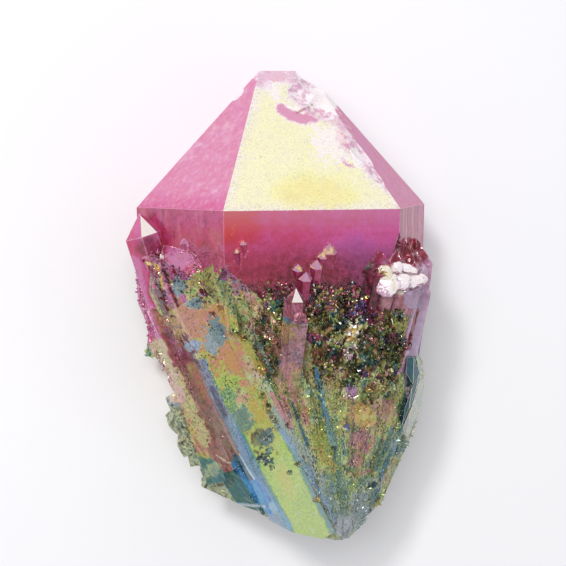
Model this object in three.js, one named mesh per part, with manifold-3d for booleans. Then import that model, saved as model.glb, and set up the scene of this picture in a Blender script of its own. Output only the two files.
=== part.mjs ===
// Aura-coated Lemurian quartz cluster, lying on the back face of its big crystal.
//
// One big six-sided crystal carries a fan of smaller crystals along its lower half.
// They all grew from one broken root, so everything is joined in a single solid.
//
// Millimetres.  +Y runs along the big crystal to its tip, Y = 0 is the line of its
// shoulders, X = 0 is its axis and Z = 0 is the prism face that it lies on.

import * as THREE from 'three';
import { ConvexGeometry } from 'three/addons/geometries/ConvexGeometry.js';
import { mergeVertices } from 'three/addons/utils/BufferGeometryUtils.js';
import Module from 'manifold-3d';

const wasm = await Module();
wasm.setup();

// ---------------------------------------------------------------- driving sizes

const BIG_WIDTH = 34;          // big crystal, edge to edge at the shoulders
const BIG_DEPTH = 24.6;        // big crystal, flat to flat
const BIG_FACE = 19.8;         // width of its front and back faces
const BIG_TAPER = 1.2;         // degrees that its sides lean in towards the root
const BIG_FOOT = -30;          // where its prism ends inside the cluster
const TIP_SLOPE = 38.8;        // degrees between a tip face and the long axis
const ROOT = new THREE.Vector3(6, -42, 14);   // the point that the fan grows from
const ROOT_END = -38.4;        // the broken root end
const SIDE_FACE_SHARE = 0.5;   // front face over width in a regular crystal
const DEPTH_SHARE = Math.sqrt(3) / 2;         // depth over width in a regular one

const FACING = 0.6;            // growths stand only where the surface faces the probe
const SINK = 0.1;              // how far a growth dips into the surface, over its length
const SIXTH_TURN = 60;         // degrees after which a six-sided crystal looks the same
const HOLLOW_SHAPE = new THREE.Vector3(1, 0.8, 0.5);   // etched hollow over its radius
const HOLLOW_CORNERS = 9;
const LUMP_CORNERS = 14;
const LUMP_WANDER = 0.3;       // how far a lump's corners stray around it, radians
const LUMP_REACH = [0.82, 1.12];              // and in and out, as a share of its size
const SCOOP_DETAIL = 4;        // how finely the ball that cuts a chip is divided

const MERGE = 1e-4;            // points nearer than this are one
const ROUNDING = 1e-5;         // a number smaller than this counts as nothing
const FAR = 60;                // well outside the cluster on every side
const SEED = 20817;
const RANDOM_FACTOR = 48271;   // steps a repeatable row of numbers
const RANDOM_RANGE = 2147483647;

const UP = new THREE.Vector3(0, 0, 1);

// ---------------------------------------------------------------- small helpers

function vec(x, y, z) {
  return new THREE.Vector3(x, y, z);
}

function radians(degrees) {
  return THREE.MathUtils.degToRad(degrees);
}

// A repeatable source of numbers from 0 to 1.
function numbersFrom(seed) {
  let state = seed;
  return () => {
    state = (state * RANDOM_FACTOR) % RANDOM_RANGE;
    return state / RANDOM_RANGE;
  };
}

const random = numbersFrom(SEED);

function between(low, high) {
  return low + (high - low) * random();
}

function solidOf(geometry) {
  const bare = geometry.clone();
  bare.deleteAttribute('normal');
  if (bare.attributes.uv) bare.deleteAttribute('uv');
  const merged = mergeVertices(bare, MERGE);
  return new wasm.Manifold(new wasm.Mesh({
    numProp: 3,
    vertProperties: new Float32Array(merged.attributes.position.array),
    triVerts: new Uint32Array(merged.index.array),
  }));
}

function geometryOf(solid) {
  const mesh = solid.getMesh();
  const geometry = new THREE.BufferGeometry();
  geometry.setAttribute('position', new THREE.BufferAttribute(mesh.vertProperties, 3));
  geometry.setIndex(new THREE.BufferAttribute(mesh.triVerts, 1));
  return geometry;
}

function plane(normal, point) {
  return new THREE.Plane().setFromNormalAndCoplanarPoint(normal.clone().normalize(), point);
}

// The point that three planes share, or null where they run alongside each other.
function meet(a, b, c) {
  const bc = b.normal.clone().cross(c.normal);
  const ca = c.normal.clone().cross(a.normal);
  const ab = a.normal.clone().cross(b.normal);
  const volume = a.normal.dot(bc);
  if (Math.abs(volume) < ROUNDING) return null;
  const sum = bc.multiplyScalar(-a.constant);
  sum.addScaledVector(ca, -b.constant);
  sum.addScaledVector(ab, -c.constant);
  return sum.divideScalar(volume);
}

// The closed body that lies behind every plane of the list.
function bodyBehind(planes) {
  const corners = [];
  for (let i = 0; i < planes.length; i += 1) {
    for (let j = i + 1; j < planes.length; j += 1) {
      for (let k = j + 1; k < planes.length; k += 1) {
        const corner = meet(planes[i], planes[j], planes[k]);
        if (!corner) continue;
        if (planes.some((side) => side.distanceToPoint(corner) > ROUNDING)) continue;
        if (corners.some((known) => known.distanceTo(corner) < MERGE)) continue;
        corners.push(corner);
      }
    }
  }
  return solidOf(new ConvexGeometry(corners));
}

// ---------------------------------------------------------------- crystal faces

// The planes of one six-sided quartz crystal from its foot to its tip.
//   head, foot   ends of its axis
//   width        edge to edge across the prism, depth and face follow it
//   roll         turn about its axis, 0 has a flat face up
//   taper        degrees that the sides lean in towards the foot
//   uneven       how unequal the six tip faces are, as a share of the width
//   level        keeps the back face along the axis, whatever the taper
function crystalPlanes({
  head, foot, width,
  depth = width * DEPTH_SHARE,
  face = width * SIDE_FACE_SHARE,
  roll = 0, taper = 0, uneven = 0.12, level = false,
}) {
  const axis = head.clone().sub(foot).normalize();
  const flat = UP.clone().addScaledVector(axis, -UP.dot(axis)).normalize();
  flat.applyAxisAngle(axis, radians(roll));
  const side = axis.clone().cross(flat).normalize();
  const flankTurn = Math.atan2((width - face) / 2, depth / 2);
  const flankReach = (width / 2) * Math.cos(flankTurn);
  const tipHeight = (depth / 2) / Math.tan(radians(TIP_SLOPE));
  const shoulder = head.clone().addScaledVector(axis, -tipHeight);
  const sides = [];
  for (const sign of [1, -1]) {
    const leanIn = level && sign < 0 ? 0 : taper;
    sides.push({ out: flat.clone().multiplyScalar(sign), reach: depth / 2, leanIn });
    for (const hand of [1, -1]) {
      const out = side.clone().multiplyScalar(hand * Math.cos(flankTurn));
      out.addScaledVector(flat, sign * Math.sin(flankTurn));
      sides.push({ out, reach: flankReach, leanIn: taper });
    }
  }
  const planes = [plane(axis.clone().negate(), foot)];
  sides.forEach(({ out, reach, leanIn }, index) => {
    const edge = shoulder.clone().addScaledVector(out, reach);
    const wall = out.clone().multiplyScalar(Math.cos(radians(leanIn)));
    wall.addScaledVector(axis, -Math.sin(radians(leanIn)));
    planes.push(plane(wall, edge));
    const tip = out.clone().multiplyScalar(Math.cos(radians(TIP_SLOPE)));
    tip.addScaledVector(axis, Math.sin(radians(TIP_SLOPE)));
    const lift = index % 2 ? uneven * width * random() : 0;
    planes.push(plane(tip, edge.addScaledVector(axis, lift)));
  });
  return planes;
}

function crystal(shape) {
  return bodyBehind(crystalPlanes(shape));
}

// A rough lump: the hull of points scattered over an oval.
function lump(centre, sizes, count = LUMP_CORNERS) {
  const points = [];
  for (let i = 0; i < count; i += 1) {
    const rise = 1 - (2 * (i + 0.5)) / count;
    const round = Math.sqrt(1 - rise * rise);
    const turn = i * Math.PI * (3 - Math.sqrt(5)) + between(-LUMP_WANDER, LUMP_WANDER);
    const reach = between(...LUMP_REACH);
    points.push(vec(
      centre.x + sizes.x * round * Math.cos(turn) * reach,
      centre.y + sizes.y * round * Math.sin(turn) * reach,
      centre.z + sizes.z * rise * reach,
    ));
  }
  return solidOf(new ConvexGeometry(points));
}

// A shallow shell-shaped scoop, as a chip leaves it.
function scoop(centre, radius, squash, turn) {
  const ball = new THREE.IcosahedronGeometry(radius, SCOOP_DETAIL);
  ball.scale(1, squash, 1);
  ball.rotateZ(radians(turn));
  ball.translate(centre.x, centre.y, centre.z);
  return solidOf(ball);
}

// ---------------------------------------------------------------- the big crystal

const bigTipHeight = (BIG_DEPTH / 2) / Math.tan(radians(TIP_SLOPE));

const bigCrystal = bodyBehind([
  ...crystalPlanes({
    head: vec(0, bigTipHeight, BIG_DEPTH / 2),
    foot: vec(0, BIG_FOOT, BIG_DEPTH / 2),
    width: BIG_WIDTH,
    depth: BIG_DEPTH,
    face: BIG_FACE,
    taper: BIG_TAPER,
    uneven: 0,
    level: true,
  }),
  // it breaks off inwards where the fan of small crystals covers it
  plane(vec(-0.92, -0.4, 0), vec(-15.6, -11, 12)),
  plane(vec(0.95, -0.31, 0), vec(15.2, -16, 12)),
  plane(vec(0, -0.42, -0.9), vec(0, -24, 0)),
  plane(vec(0, -0.4, 0.92), vec(0, -16, 24)),
  plane(vec(-0.42, -0.49, 1), vec(-7.9, -9.3, 23.6)),
  plane(vec(0.5, -0.2, 1), vec(8, -14, 23.2)),
]);

// ---------------------------------------------------------------- the grown mass

// The mass that the fan stands on, from below the shoulders to the broken root.
const mass = bodyBehind([
  plane(vec(-0.42, -0.49, 1), vec(-7.9, -9.3, 23.6)),
  plane(vec(0, -0.4, 1), vec(0, -17, 23.6)),
  plane(vec(0, 0, 1), vec(0, 0, 24.2)),
  plane(vec(0.5, -0.2, 1), vec(8, -14, 23.2)),
  plane(vec(1, -0.3, 1), vec(12, -22, 18.6)),
  plane(vec(0.55, 1, 0.1), vec(-12.4, -6.4, 12)),
  plane(vec(-0.92, -0.4, 0.1), vec(-15.8, -11, 12)),
  plane(vec(-1, 0, 0), vec(-16.2, 0, 0)),
  plane(vec(-0.8, -0.6, 0.1), vec(-10.8, -25, 12)),
  plane(vec(1, 0, 0.12), vec(15.6, -12, 12)),
  plane(vec(0.86, -0.5, 0.05), vec(14.3, -28, 12)),
  plane(vec(-0.7, -0.2, -0.7), vec(-12, -12, 4)),
  plane(vec(0.7, -0.1, -0.7), vec(12.5, -12, 4)),
  plane(vec(0, -0.5, -0.87), vec(0, -23.5, 0)),
  plane(vec(0, 0, -1), vec(0, 0, 0)),
  plane(vec(0.1, -1, -0.1), vec(5, ROOT_END + 1.6, 14)),
]);

// ---------------------------------------------------------------- named crystals

const NAMED = [
  // left crystal with the small bright tip face, and the long flank below it
  { head: vec(-17.1, -0.4, 14.2), foot: vec(-13.4, -12, 14.4), width: 4.8, depth: 4.2,
    face: 1.8, uneven: 0 },
  { head: vec(-15.7, -3.4, 11.6), foot: vec(-7, -31, 12), width: 5.4, roll: 20, taper: 0.4 },
  { head: vec(-13.8, -5, 8), foot: vec(-6.5, -30, 9), width: 6, roll: 8, taper: 0.6 },
  // rods between the flank and the plate
  { head: vec(-16.7, -4.4, 15.4), foot: vec(-9.6, -20, 17), width: 1.6, roll: 12 },
  { head: vec(-15.7, -4.6, 16.8), foot: vec(-8.6, -20, 18), width: 1.5, roll: -10 },
  { head: vec(-14.7, -4.8, 18.2), foot: vec(-8, -18, 19.6), width: 1.5, roll: 20 },
  { head: vec(-13.6, -1.9, 17.2), foot: vec(-11.6, -9, 18.2), width: 1.3, roll: 14 },
  { head: vec(-12.9, -2.7, 18.8), foot: vec(-10.6, -10, 19.6), width: 1.7, roll: 4 },
  // the long glassy rod along the plate's left side
  { head: vec(-15.4, -9.6, 14.6), foot: vec(-6.6, -29.6, 13.4), width: 3.6, roll: 26, taper: 0.4 },
  // the plate
  { head: vec(-14.9, -4.3, 19.4), foot: vec(2.5, -37.6, 15), width: 6.8, depth: 5,
    face: 4.4, roll: -5, taper: -0.3, uneven: 0.2 },
  // the etched face between the plate and the ridge
  { head: vec(-10.9, -6.2, 21.4), foot: vec(5, -37.4, 15.4), width: 3.4, depth: 3.4,
    face: 2.2, roll: -22, taper: 0.1 },
  // long crystals along the ridge and down to the valley
  { head: vec(-7.4, -7.4, 23.4), foot: vec(4.6, -34, 17.4), width: 3, roll: 12 },
  { head: vec(-5.2, -10.6, 24), foot: vec(4.6, -35, 16.6), width: 3, roll: -8 },
  { head: vec(-3.2, -13.4, 24), foot: vec(5, -34, 16.6), width: 2.4, roll: 6 },
  // small upright crystals below the front face
  { head: vec(-2.2, -8.2, 25.7), foot: vec(-2.4, -18.6, 23.2), width: 2.5, uneven: 0 },
  { head: vec(-1.7, -10.8, 26.1), foot: vec(-2.2, -19.4, 23.4), width: 2.2, roll: 10 },
  { head: vec(-0.9, -6.6, 25.1), foot: vec(-0.9, -12, 22.8), width: 1.6, uneven: 0 },
  { head: vec(-1.7, -5.8, 24.8), foot: vec(-1.6, -9.6, 22.8), width: 1.2, roll: 8 },
  { head: vec(0.4, -5.4, 24.9), foot: vec(0.4, -10.5, 22.6), width: 1.5, roll: 5 },
  { head: vec(1.1, -4.5, 24.8), foot: vec(1.1, -8.5, 22.8), width: 1.2, roll: -6 },
  { head: vec(1.9, -3.6, 24.7), foot: vec(1.8, -9, 22.4), width: 1.9, uneven: 0 },
  // flecks and ledges where the front face's left edge meets the ridge
  { head: vec(-9.1, -5, 23.8), foot: vec(-8.6, -10, 23), width: 1.5, roll: 10 },
  { head: vec(-8.5, -3.9, 24.4), foot: vec(-8, -7, 23.8), width: 1, roll: -15 },
  { head: vec(-7.7, -3.1, 24.5), foot: vec(-7.5, -5.6, 23.9), width: 0.9, roll: 20 },
  { head: vec(-9.3, -6.8, 23.5), foot: vec(-8.2, -13, 22.4), width: 1.7, roll: -8 },
  { head: vec(-6.1, -9.7, 24.7), foot: vec(-5.8, -14, 23.8), width: 1.4, roll: 14 },
  { head: vec(-5.3, -11.4, 24.6), foot: vec(-5, -15, 23.6), width: 1.2, roll: 30 },
  // crystals bunched at the right shoulder
  { head: vec(11.3, -3.4, 22.4), foot: vec(9.6, -18, 19.4), width: 5.6, roll: -9, uneven: 0.1 },
  { head: vec(13.9, -3.6, 18.4), foot: vec(12, -20, 16.4), width: 5, roll: 20 },
  { head: vec(7.7, -4.5, 24.8), foot: vec(6.8, -16, 20.8), width: 4.2, roll: 4, uneven: 0.1 },
  { head: vec(9.6, -4.2, 24.2), foot: vec(8.2, -15, 20.2), width: 3.6, roll: -8 },
  { head: vec(8.5, -6.2, 24.9), foot: vec(7.2, -15, 21.4), width: 3.2, roll: 10, uneven: 0.05 },
  { head: vec(12.9, -4.8, 21.4), foot: vec(11, -16, 18), width: 3.8, roll: -20 },
  { head: vec(10.8, -6.4, 24), foot: vec(9.6, -17, 20.6), width: 4, roll: 25, uneven: 0.2 },
  { head: vec(13.5, -7.2, 20.6), foot: vec(11.4, -20, 18.2), width: 3.8, roll: -35 },
  { head: vec(14.9, -8.2, 14.4), foot: vec(11, -30, 13.4), width: 4.8, roll: 16 },
  { head: vec(14.2, -9, 16.8), foot: vec(8.6, -27, 17.4), width: 3.2, roll: -20 },
  // dark blade at the right edge and the clear splinter behind it
  { head: vec(14.3, -15.6, 15), foot: vec(9.6, -32, 13.6), width: 4, depth: 3, roll: 35 },
  { head: vec(16.2, -16.6, 10.4), foot: vec(12.6, -29, 11.6), width: 3.8, depth: 3.2, roll: 20 },
  // crystals low on both sides
  { head: vec(14.4, -5.2, 8), foot: vec(9.5, -29, 9), width: 5.6, roll: 12, taper: 0.5 },
  { head: vec(12.8, -9, 4.8), foot: vec(8, -30, 6.5), width: 4.6, roll: -10 },
  { head: vec(-12.2, -9, 4.8), foot: vec(-5, -31, 7), width: 5, roll: 14 },
  // ridges that run down to the root on the right
  { head: vec(10.2, -23, 18.8), foot: vec(7.4, -36, 14.4), width: 2.2, roll: 14 },
  { head: vec(12, -24.6, 17.2), foot: vec(8.4, -36, 13), width: 2.2, roll: -6 },
  { head: vec(13.5, -26, 14.8), foot: vec(9.2, -36, 12), width: 2.2, roll: 10 },
  { head: vec(5.6, -14.6, 22.8), foot: vec(6.2, -37, 14.2), width: 6.4, face: 3.8, roll: 6 },
  { head: vec(9, -15, 20.8), foot: vec(7.4, -36, 13.4), width: 5, face: 2.8, roll: 24 },
  { head: vec(2.2, -16, 23), foot: vec(5.2, -37, 15), width: 3.6, roll: -12 },
  { head: vec(0.8, -13.6, 24.4), foot: vec(3.6, -26, 21.4), width: 1.9, roll: 10 },
  { head: vec(3.8, -12.4, 24.6), foot: vec(3.8, -24, 22), width: 2.4, roll: -12 },
  { head: vec(6.8, -11.6, 24), foot: vec(6.4, -24, 21), width: 2.6, roll: 15 },
  { head: vec(7.4, -16.6, 22.2), foot: vec(7, -36, 14.2), width: 2.6, roll: 10 },
  { head: vec(10.8, -17.4, 19.8), foot: vec(8, -36, 13.6), width: 2.8, roll: 25 },
  { head: vec(4.2, -18.6, 22.8), foot: vec(5.8, -36, 15), width: 2.2, roll: -15 },
  { head: vec(12.2, -18.6, 18.2), foot: vec(8.8, -36, 12.8), width: 2.6, roll: 5 },
  // the thick root spear
  { head: vec(5, -26, 16), foot: vec(6, -38.3, 14.6), width: 6, roll: 10, taper: 9 },
];

// Glassy broken quartz under the rod, at the left of the root.
const leftGlass = solidOf(new ConvexGeometry([
  vec(-9.2, -28.6, 12.6), vec(-5, -27.6, 15), vec(-1.6, -33, 14.4), vec(-2.6, -35.4, 12.4),
  vec(-5.4, -34.5, 11.6), vec(-7.4, -34, 10.4), vec(-8.6, -32, 10.6), vec(-6.8, -33, 6.4),
  vec(-4, -33.8, 6), vec(-5, -27, 6), vec(0, -30, 8),
]));

// Rough knobs along the left of the cluster, below the flank.
const KNOBS = [
  { at: vec(-12, -22.6, 10.4), size: 1.5 },
  { at: vec(-11.4, -24.6, 9.6), size: 1.9 },
  { at: vec(-10.4, -26.6, 10.4), size: 2 },
  { at: vec(-9.4, -28.4, 10), size: 1.9 },
  { at: vec(-8.2, -30.2, 10.6), size: 1.7 },
  { at: vec(-8, -32.2, 9.6), size: 1.5 },
  { at: vec(-9.6, -24, 12.4), size: 1.6 },
  { at: vec(-8, -27, 12.6), size: 1.5 },
  { at: vec(-11.2, -21.8, 11.8), size: 1.1 },
];

// ---------------------------------------------------------------- small growths

// Finds where a straight line first meets a solid, and the way out of it there.
function prober(solid) {
  const skin = new THREE.Mesh(geometryOf(solid));
  const ray = new THREE.Raycaster();
  return (point, towards) => {
    ray.set(point.clone().addScaledVector(towards, -FAR), towards);
    const hits = ray.intersectObject(skin);
    if (!hits.length) return null;
    return { point: hits[0].point, out: hits[0].face.normal.clone() };
  };
}

// A random point inside four corners given in order around the patch.
function spotIn([a, b, c, d]) {
  const across = random();
  const top = a.clone().lerp(b, across);
  const bottom = d.clone().lerp(c, across);
  return top.lerp(bottom, random());
}

// Small crystals scattered over a patch of the solid, as seen along one direction.
//   fan     0 points them along the big crystal, 1 away from the root
//   lean    how far they tip out of the surface, 0 lies along it
function sprinkle(solid, { corners, towards, count, width, proud, length, fan = 0.5, lean = 0 }) {
  const probe = prober(solid);
  const grown = [];
  for (let i = 0; i < count; i += 1) {
    const spot = spotIn(corners);
    const size = between(...width);
    const rise = between(...proud);
    const reach = between(...length);
    const tip = between(0, lean);
    const roll = between(0, SIXTH_TURN);
    const hit = probe(spot, towards);
    if (!hit || hit.out.dot(towards) > -FACING) continue;
    const axis = hit.point.clone().sub(ROOT).normalize().lerp(vec(0, 1, 0), 1 - fan);
    axis.addScaledVector(hit.out, tip - axis.dot(hit.out)).normalize();
    const head = hit.point.clone().addScaledVector(hit.out, rise - size * DEPTH_SHARE / 2);
    const foot = head.clone().addScaledVector(axis, -reach);
    foot.addScaledVector(hit.out, -rise - SINK * reach);
    grown.push(crystal({ head, foot, width: size, roll, uneven: 0.2 }));
  }
  return wasm.Manifold.union([solid, ...grown]);
}

// Small hollows etched into a patch of the solid.
function etch(solid, { corners, towards, count, size, deep }) {
  const probe = prober(solid);
  const hollows = [];
  for (let i = 0; i < count; i += 1) {
    const spot = spotIn(corners);
    const radius = between(...size);
    const depth = between(...deep);
    const hit = probe(spot, towards);
    if (!hit || hit.out.dot(towards) > -FACING) continue;
    const sizes = HOLLOW_SHAPE.clone().multiplyScalar(radius);
    const centre = hit.point.clone().addScaledVector(hit.out, sizes.z - depth);
    hollows.push(lump(centre, sizes, HOLLOW_CORNERS));
  }
  return solid.subtract(wasm.Manifold.union(hollows));
}

const DOWN = vec(0, 0, -1);
const FROM_LEFT = vec(1, 0, 0);
const FROM_RIGHT = vec(-1, 0, 0);

function flatPatch(...corners) {
  return corners.map(([x, y]) => vec(x, y, 0));
}

function sidePatch(...corners) {
  return corners.map(([y, z]) => vec(0, y, z));
}

const DRUSE = [
  // dark sparkling crust below the front face
  { corners: flatPatch([0.3, -8], [6.4, -8.6], [6.6, -16.4], [0, -15.4]), towards: DOWN,
    count: 30, width: [1, 2.1], proud: [0.6, 1.4], length: [2, 4], fan: 0.6, lean: 0.3 },
  { corners: flatPatch([6, -12.4], [13, -13.4], [11.6, -20], [5.4, -18]), towards: DOWN,
    count: 20, width: [1.1, 2.3], proud: [0.6, 1.4], length: [2, 4], fan: 0.8, lean: 0.3 },
  // along the ridge, from the front face's left edge to the valley
  { corners: flatPatch([-8.6, -8.6], [-4.4, -9], [-3.2, -16], [-4.6, -16]), towards: DOWN,
    count: 14, width: [1, 2], proud: [0.5, 1.1], length: [3, 6], fan: 0.9, lean: 0.12 },
  // low ridges that run down to the root
  { corners: flatPatch([-2.4, -17], [9.4, -18], [8, -30], [3.6, -31]), towards: DOWN,
    count: 16, width: [1, 2], proud: [0.2, 0.5], length: [5, 9], fan: 1, lean: 0 },
  // both edges, below the level that the front shows
  { corners: sidePatch([-9, 4], [-9, 9], [-27, 9], [-25, 6]), towards: FROM_RIGHT,
    count: 10, width: [2, 3.6], proud: [0.5, 1], length: [4, 9], fan: 0.9, lean: 0.04 },
  { corners: sidePatch([-8, 3.6], [-8, 8], [-26, 8], [-24, 5.6]), towards: FROM_LEFT,
    count: 10, width: [2, 3.6], proud: [0.5, 1], length: [4, 8], fan: 0.9, lean: 0.04 },
];

const ETCHED = [
  // the dark hollow in the middle of the plate
  { corners: flatPatch([-5.2, -24.8], [-3.4, -24.8], [-2.8, -28.6], [-4.6, -28.6]), towards: DOWN,
    count: 5, size: [0.5, 0.9], deep: [0.2, 0.35] },
  // the plate and the etched face beside it
  { corners: flatPatch([-13.2, -8], [-9.6, -10], [1.6, -31], [-2.4, -32]), towards: DOWN,
    count: 9, size: [0.4, 0.9], deep: [0.12, 0.3] },
  { corners: flatPatch([-8.6, -12], [-7, -12], [4, -33], [2.4, -33]), towards: DOWN,
    count: 8, size: [0.4, 0.9], deep: [0.15, 0.35] },
];

// Chips off the edges of the big crystal's tip.
const CHIPS = [
  { at: vec(4.5, 15.9, 14.4), radius: 3.8, squash: 0.9, turn: 20 },
  { at: vec(1.7, 14.1, 17.3), radius: 3.9, squash: 0.8, turn: -15 },
  { at: vec(4.2, 13.1, 17.8), radius: 3.8, squash: 0.9, turn: 40 },
  { at: vec(7.7, 8.2, 20.7), radius: 2.8, squash: 1.4, turn: 25 },
  { at: vec(8.3, 5.2, 22.7), radius: 2, squash: 1.4, turn: 25 },
  { at: vec(-6.4, 13.6, 12.6), radius: 1.8, squash: 1, turn: 0 },
];

// ---------------------------------------------------------------- joining it all

let cluster = wasm.Manifold.union([
  bigCrystal,
  mass,
  leftGlass,
  ...NAMED.map(crystal),
  ...KNOBS.map(({ at, size }) => lump(at, vec(size, size * 1.2, size * 0.9))),
]);
for (const patch of DRUSE) {
  cluster = sprinkle(cluster, patch);
}
for (const patch of ETCHED) {
  cluster = etch(cluster, patch);
}
for (const { at, radius, squash, turn } of CHIPS) {
  cluster = cluster.subtract(scoop(at, radius, squash, turn));
}

// The root is a clean break, and nothing reaches under the face that it lies on.
const limits = bodyBehind([
  plane(vec(-0.25, -0.97, 0), vec(6, ROOT_END, 15)),
  plane(vec(-0.43, -0.9, 0), vec(-0.4, -36.7, 15)),
  plane(vec(0.7, -0.72, 0), vec(6, ROOT_END, 15)),
  plane(vec(0, 0, -1), vec(0, 0, 0)),
  plane(vec(0, 0, 1), vec(0, 0, FAR)),
  plane(vec(-1, 0, 0), vec(-FAR, 0, 0)),
  plane(vec(1, 0, 0), vec(FAR, 0, 0)),
  plane(vec(0, 1, 0), vec(0, FAR, 0)),
]);
cluster = cluster.intersect(limits);

// Bubbles sealed in between crowded crystals are filled: only the outer skin stays.
const skins = cluster.decompose();
cluster = skins.reduce((widest, skin) => (skin.volume() > widest.volume() ? skin : widest));

// ---------------------------------------------------------------- the finished mesh

const geometry = geometryOf(cluster);
geometry.computeBoundingBox();
const middle = geometry.boundingBox.getCenter(vec(0, 0, 0));
geometry.translate(-middle.x, -middle.y, -geometry.boundingBox.min.z);
geometry.computeVertexNormals();

const auraQuartz = new THREE.MeshStandardMaterial({
  name: 'aura_quartz',
  color: 0xb04a6a,
  roughness: 0.18,
  metalness: 0.35,
  flatShading: true,
});

const quartzCluster = new THREE.Mesh(geometry, auraQuartz);
quartzCluster.name = 'quartz_cluster';

const part = new THREE.Group();
part.add(quartzCluster);

export default part;
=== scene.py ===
"""Coated Lemurian quartz cluster: fine surface, film colours, studio and camera."""
import math
from itertools import product

import bmesh
import bpy
import numpy as np
from mathutils import Matrix, Vector
from mathutils.geometry import delaunay_2d_cdt


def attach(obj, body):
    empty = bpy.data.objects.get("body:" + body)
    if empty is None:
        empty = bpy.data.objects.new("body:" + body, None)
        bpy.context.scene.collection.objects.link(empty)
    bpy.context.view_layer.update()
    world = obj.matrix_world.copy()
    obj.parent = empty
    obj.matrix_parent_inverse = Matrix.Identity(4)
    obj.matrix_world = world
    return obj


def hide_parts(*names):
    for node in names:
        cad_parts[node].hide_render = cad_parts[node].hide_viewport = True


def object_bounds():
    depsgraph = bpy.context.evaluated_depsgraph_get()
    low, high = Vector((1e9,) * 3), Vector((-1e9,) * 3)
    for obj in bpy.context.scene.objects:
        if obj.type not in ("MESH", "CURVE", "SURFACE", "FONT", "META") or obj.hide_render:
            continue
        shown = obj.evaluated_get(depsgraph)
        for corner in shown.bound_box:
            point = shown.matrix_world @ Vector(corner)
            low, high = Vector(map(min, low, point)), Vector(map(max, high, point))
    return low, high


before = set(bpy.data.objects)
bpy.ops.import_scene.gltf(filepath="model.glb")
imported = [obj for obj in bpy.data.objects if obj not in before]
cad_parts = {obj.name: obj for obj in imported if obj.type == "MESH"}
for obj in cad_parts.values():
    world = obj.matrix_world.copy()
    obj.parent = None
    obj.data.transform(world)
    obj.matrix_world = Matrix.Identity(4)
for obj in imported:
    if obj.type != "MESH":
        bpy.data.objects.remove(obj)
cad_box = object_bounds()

MM = 0.001
SHIFT = np.array([0.61636, 11.56306, 0.0])   # from the shoulder's frame to the part's, mm
ROOT = np.array([6.0, -42.0, 14.0])          # where the fan of crystals grows from
TIP_SLOPE = math.radians(38.8)               # between a tip face and the long axis
FRAME = 566                                  # the picture's width, pixels
FOCAL = 1760.0                               # pixels
EYE = np.array([-51.61, 7.83, 206.55])       # the camera's place and axes, shoulder's frame
EYE_RIGHT = np.array([0.9665, -0.0022, 0.2565])
EYE_UP = np.array([0.0234, 0.9966, -0.0795])
EYE_BACK = np.array([-0.2555, 0.0828, 0.9633])

COARSE = 0.62                  # mm between points on the hidden side,
SEEN = 0.27                    # on what the camera may see
CLOSE = 0.19                   # and on the small crystals
ROW = 0.866                    # from one row of points to the next, over their spacing
ON_PLANE = 0.004               # mm a flat face may stray from its plane
ON_WALL = 0.03                 # mm between a face and the crystal wall that it belongs to
SAME_WAY = 0.9995              # cosine between two normals that count as one
TINY = 1e-12
TINY_CRYSTALS = 13000
INSET = 0.02                   # mm that tiny crystals stay inside the CAD's box


# ---------------------------------------------------------------- noise

LATTICE = np.array([374761393, 668265263, 1442695041])
WORD = 0xFFFFFFFF


def lattice(cell, seed):
    """A repeatable number from 0 to 1 for each whole point (n, 3)."""
    h = ((cell * LATTICE).sum(axis=1) + seed * 974634777) & WORD
    h = ((h ^ (h >> 13)) * 1274126177) & WORD
    h = ((h ^ (h >> 15)) * 2246822519) & WORD
    return ((h ^ (h >> 16)) & 0xFFFFFF) / float(0x1000000)


def noise(p, seed=0):
    """Smooth noise from 0 to 1 over points p (n, 3)."""
    base = np.floor(p).astype(np.int64)
    f = p - base
    f = f * f * (3 - 2 * f)
    total = np.zeros(len(p))
    for corner in product((0, 1), repeat=3):
        share = np.where(corner, f, 1 - f).prod(axis=1)
        total += share * lattice(base + corner, seed)
    return total


def fbm(p, octaves=4, seed=0):
    """Layered noise from 0 to 1."""
    layers = [0.5 ** i * noise(p * (2.03 ** i) + 17.3 * i, seed + i) for i in range(octaves)]
    return sum(layers) / (2 - 0.5 ** (octaves - 1))


def cells(p, seed=0):
    """Distance to the nearest scattered point, and that point's own number."""
    base = np.floor(p).astype(np.int64)
    nearest = np.full(len(p), 9.0)
    owner = np.zeros(len(p))
    for offset in product((-1, 0, 1), repeat=3):
        cell = base + offset
        scattered = cell + np.stack([lattice(cell, seed + k) for k in (1, 2, 3)], axis=1)
        far = np.linalg.norm(p - scattered, axis=1)
        owner = np.where(far < nearest, lattice(cell, seed + 4), owner)
        nearest = np.minimum(nearest, far)
    return nearest, owner


def step(low, high, x):
    """0 below low, 1 above high, smooth between."""
    t = np.clip((x - low) / (high - low), 0.0, 1.0)
    return t * t * (3 - 2 * t)


def blend(a, b, t):
    return a * (1 - t) + b * t


def unit(v):
    return v / np.linalg.norm(v)


def unit_rows(v):
    return v / np.linalg.norm(v, axis=1)[:, None]


# ---------------------------------------------------------------- crystals of the CAD

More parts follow.
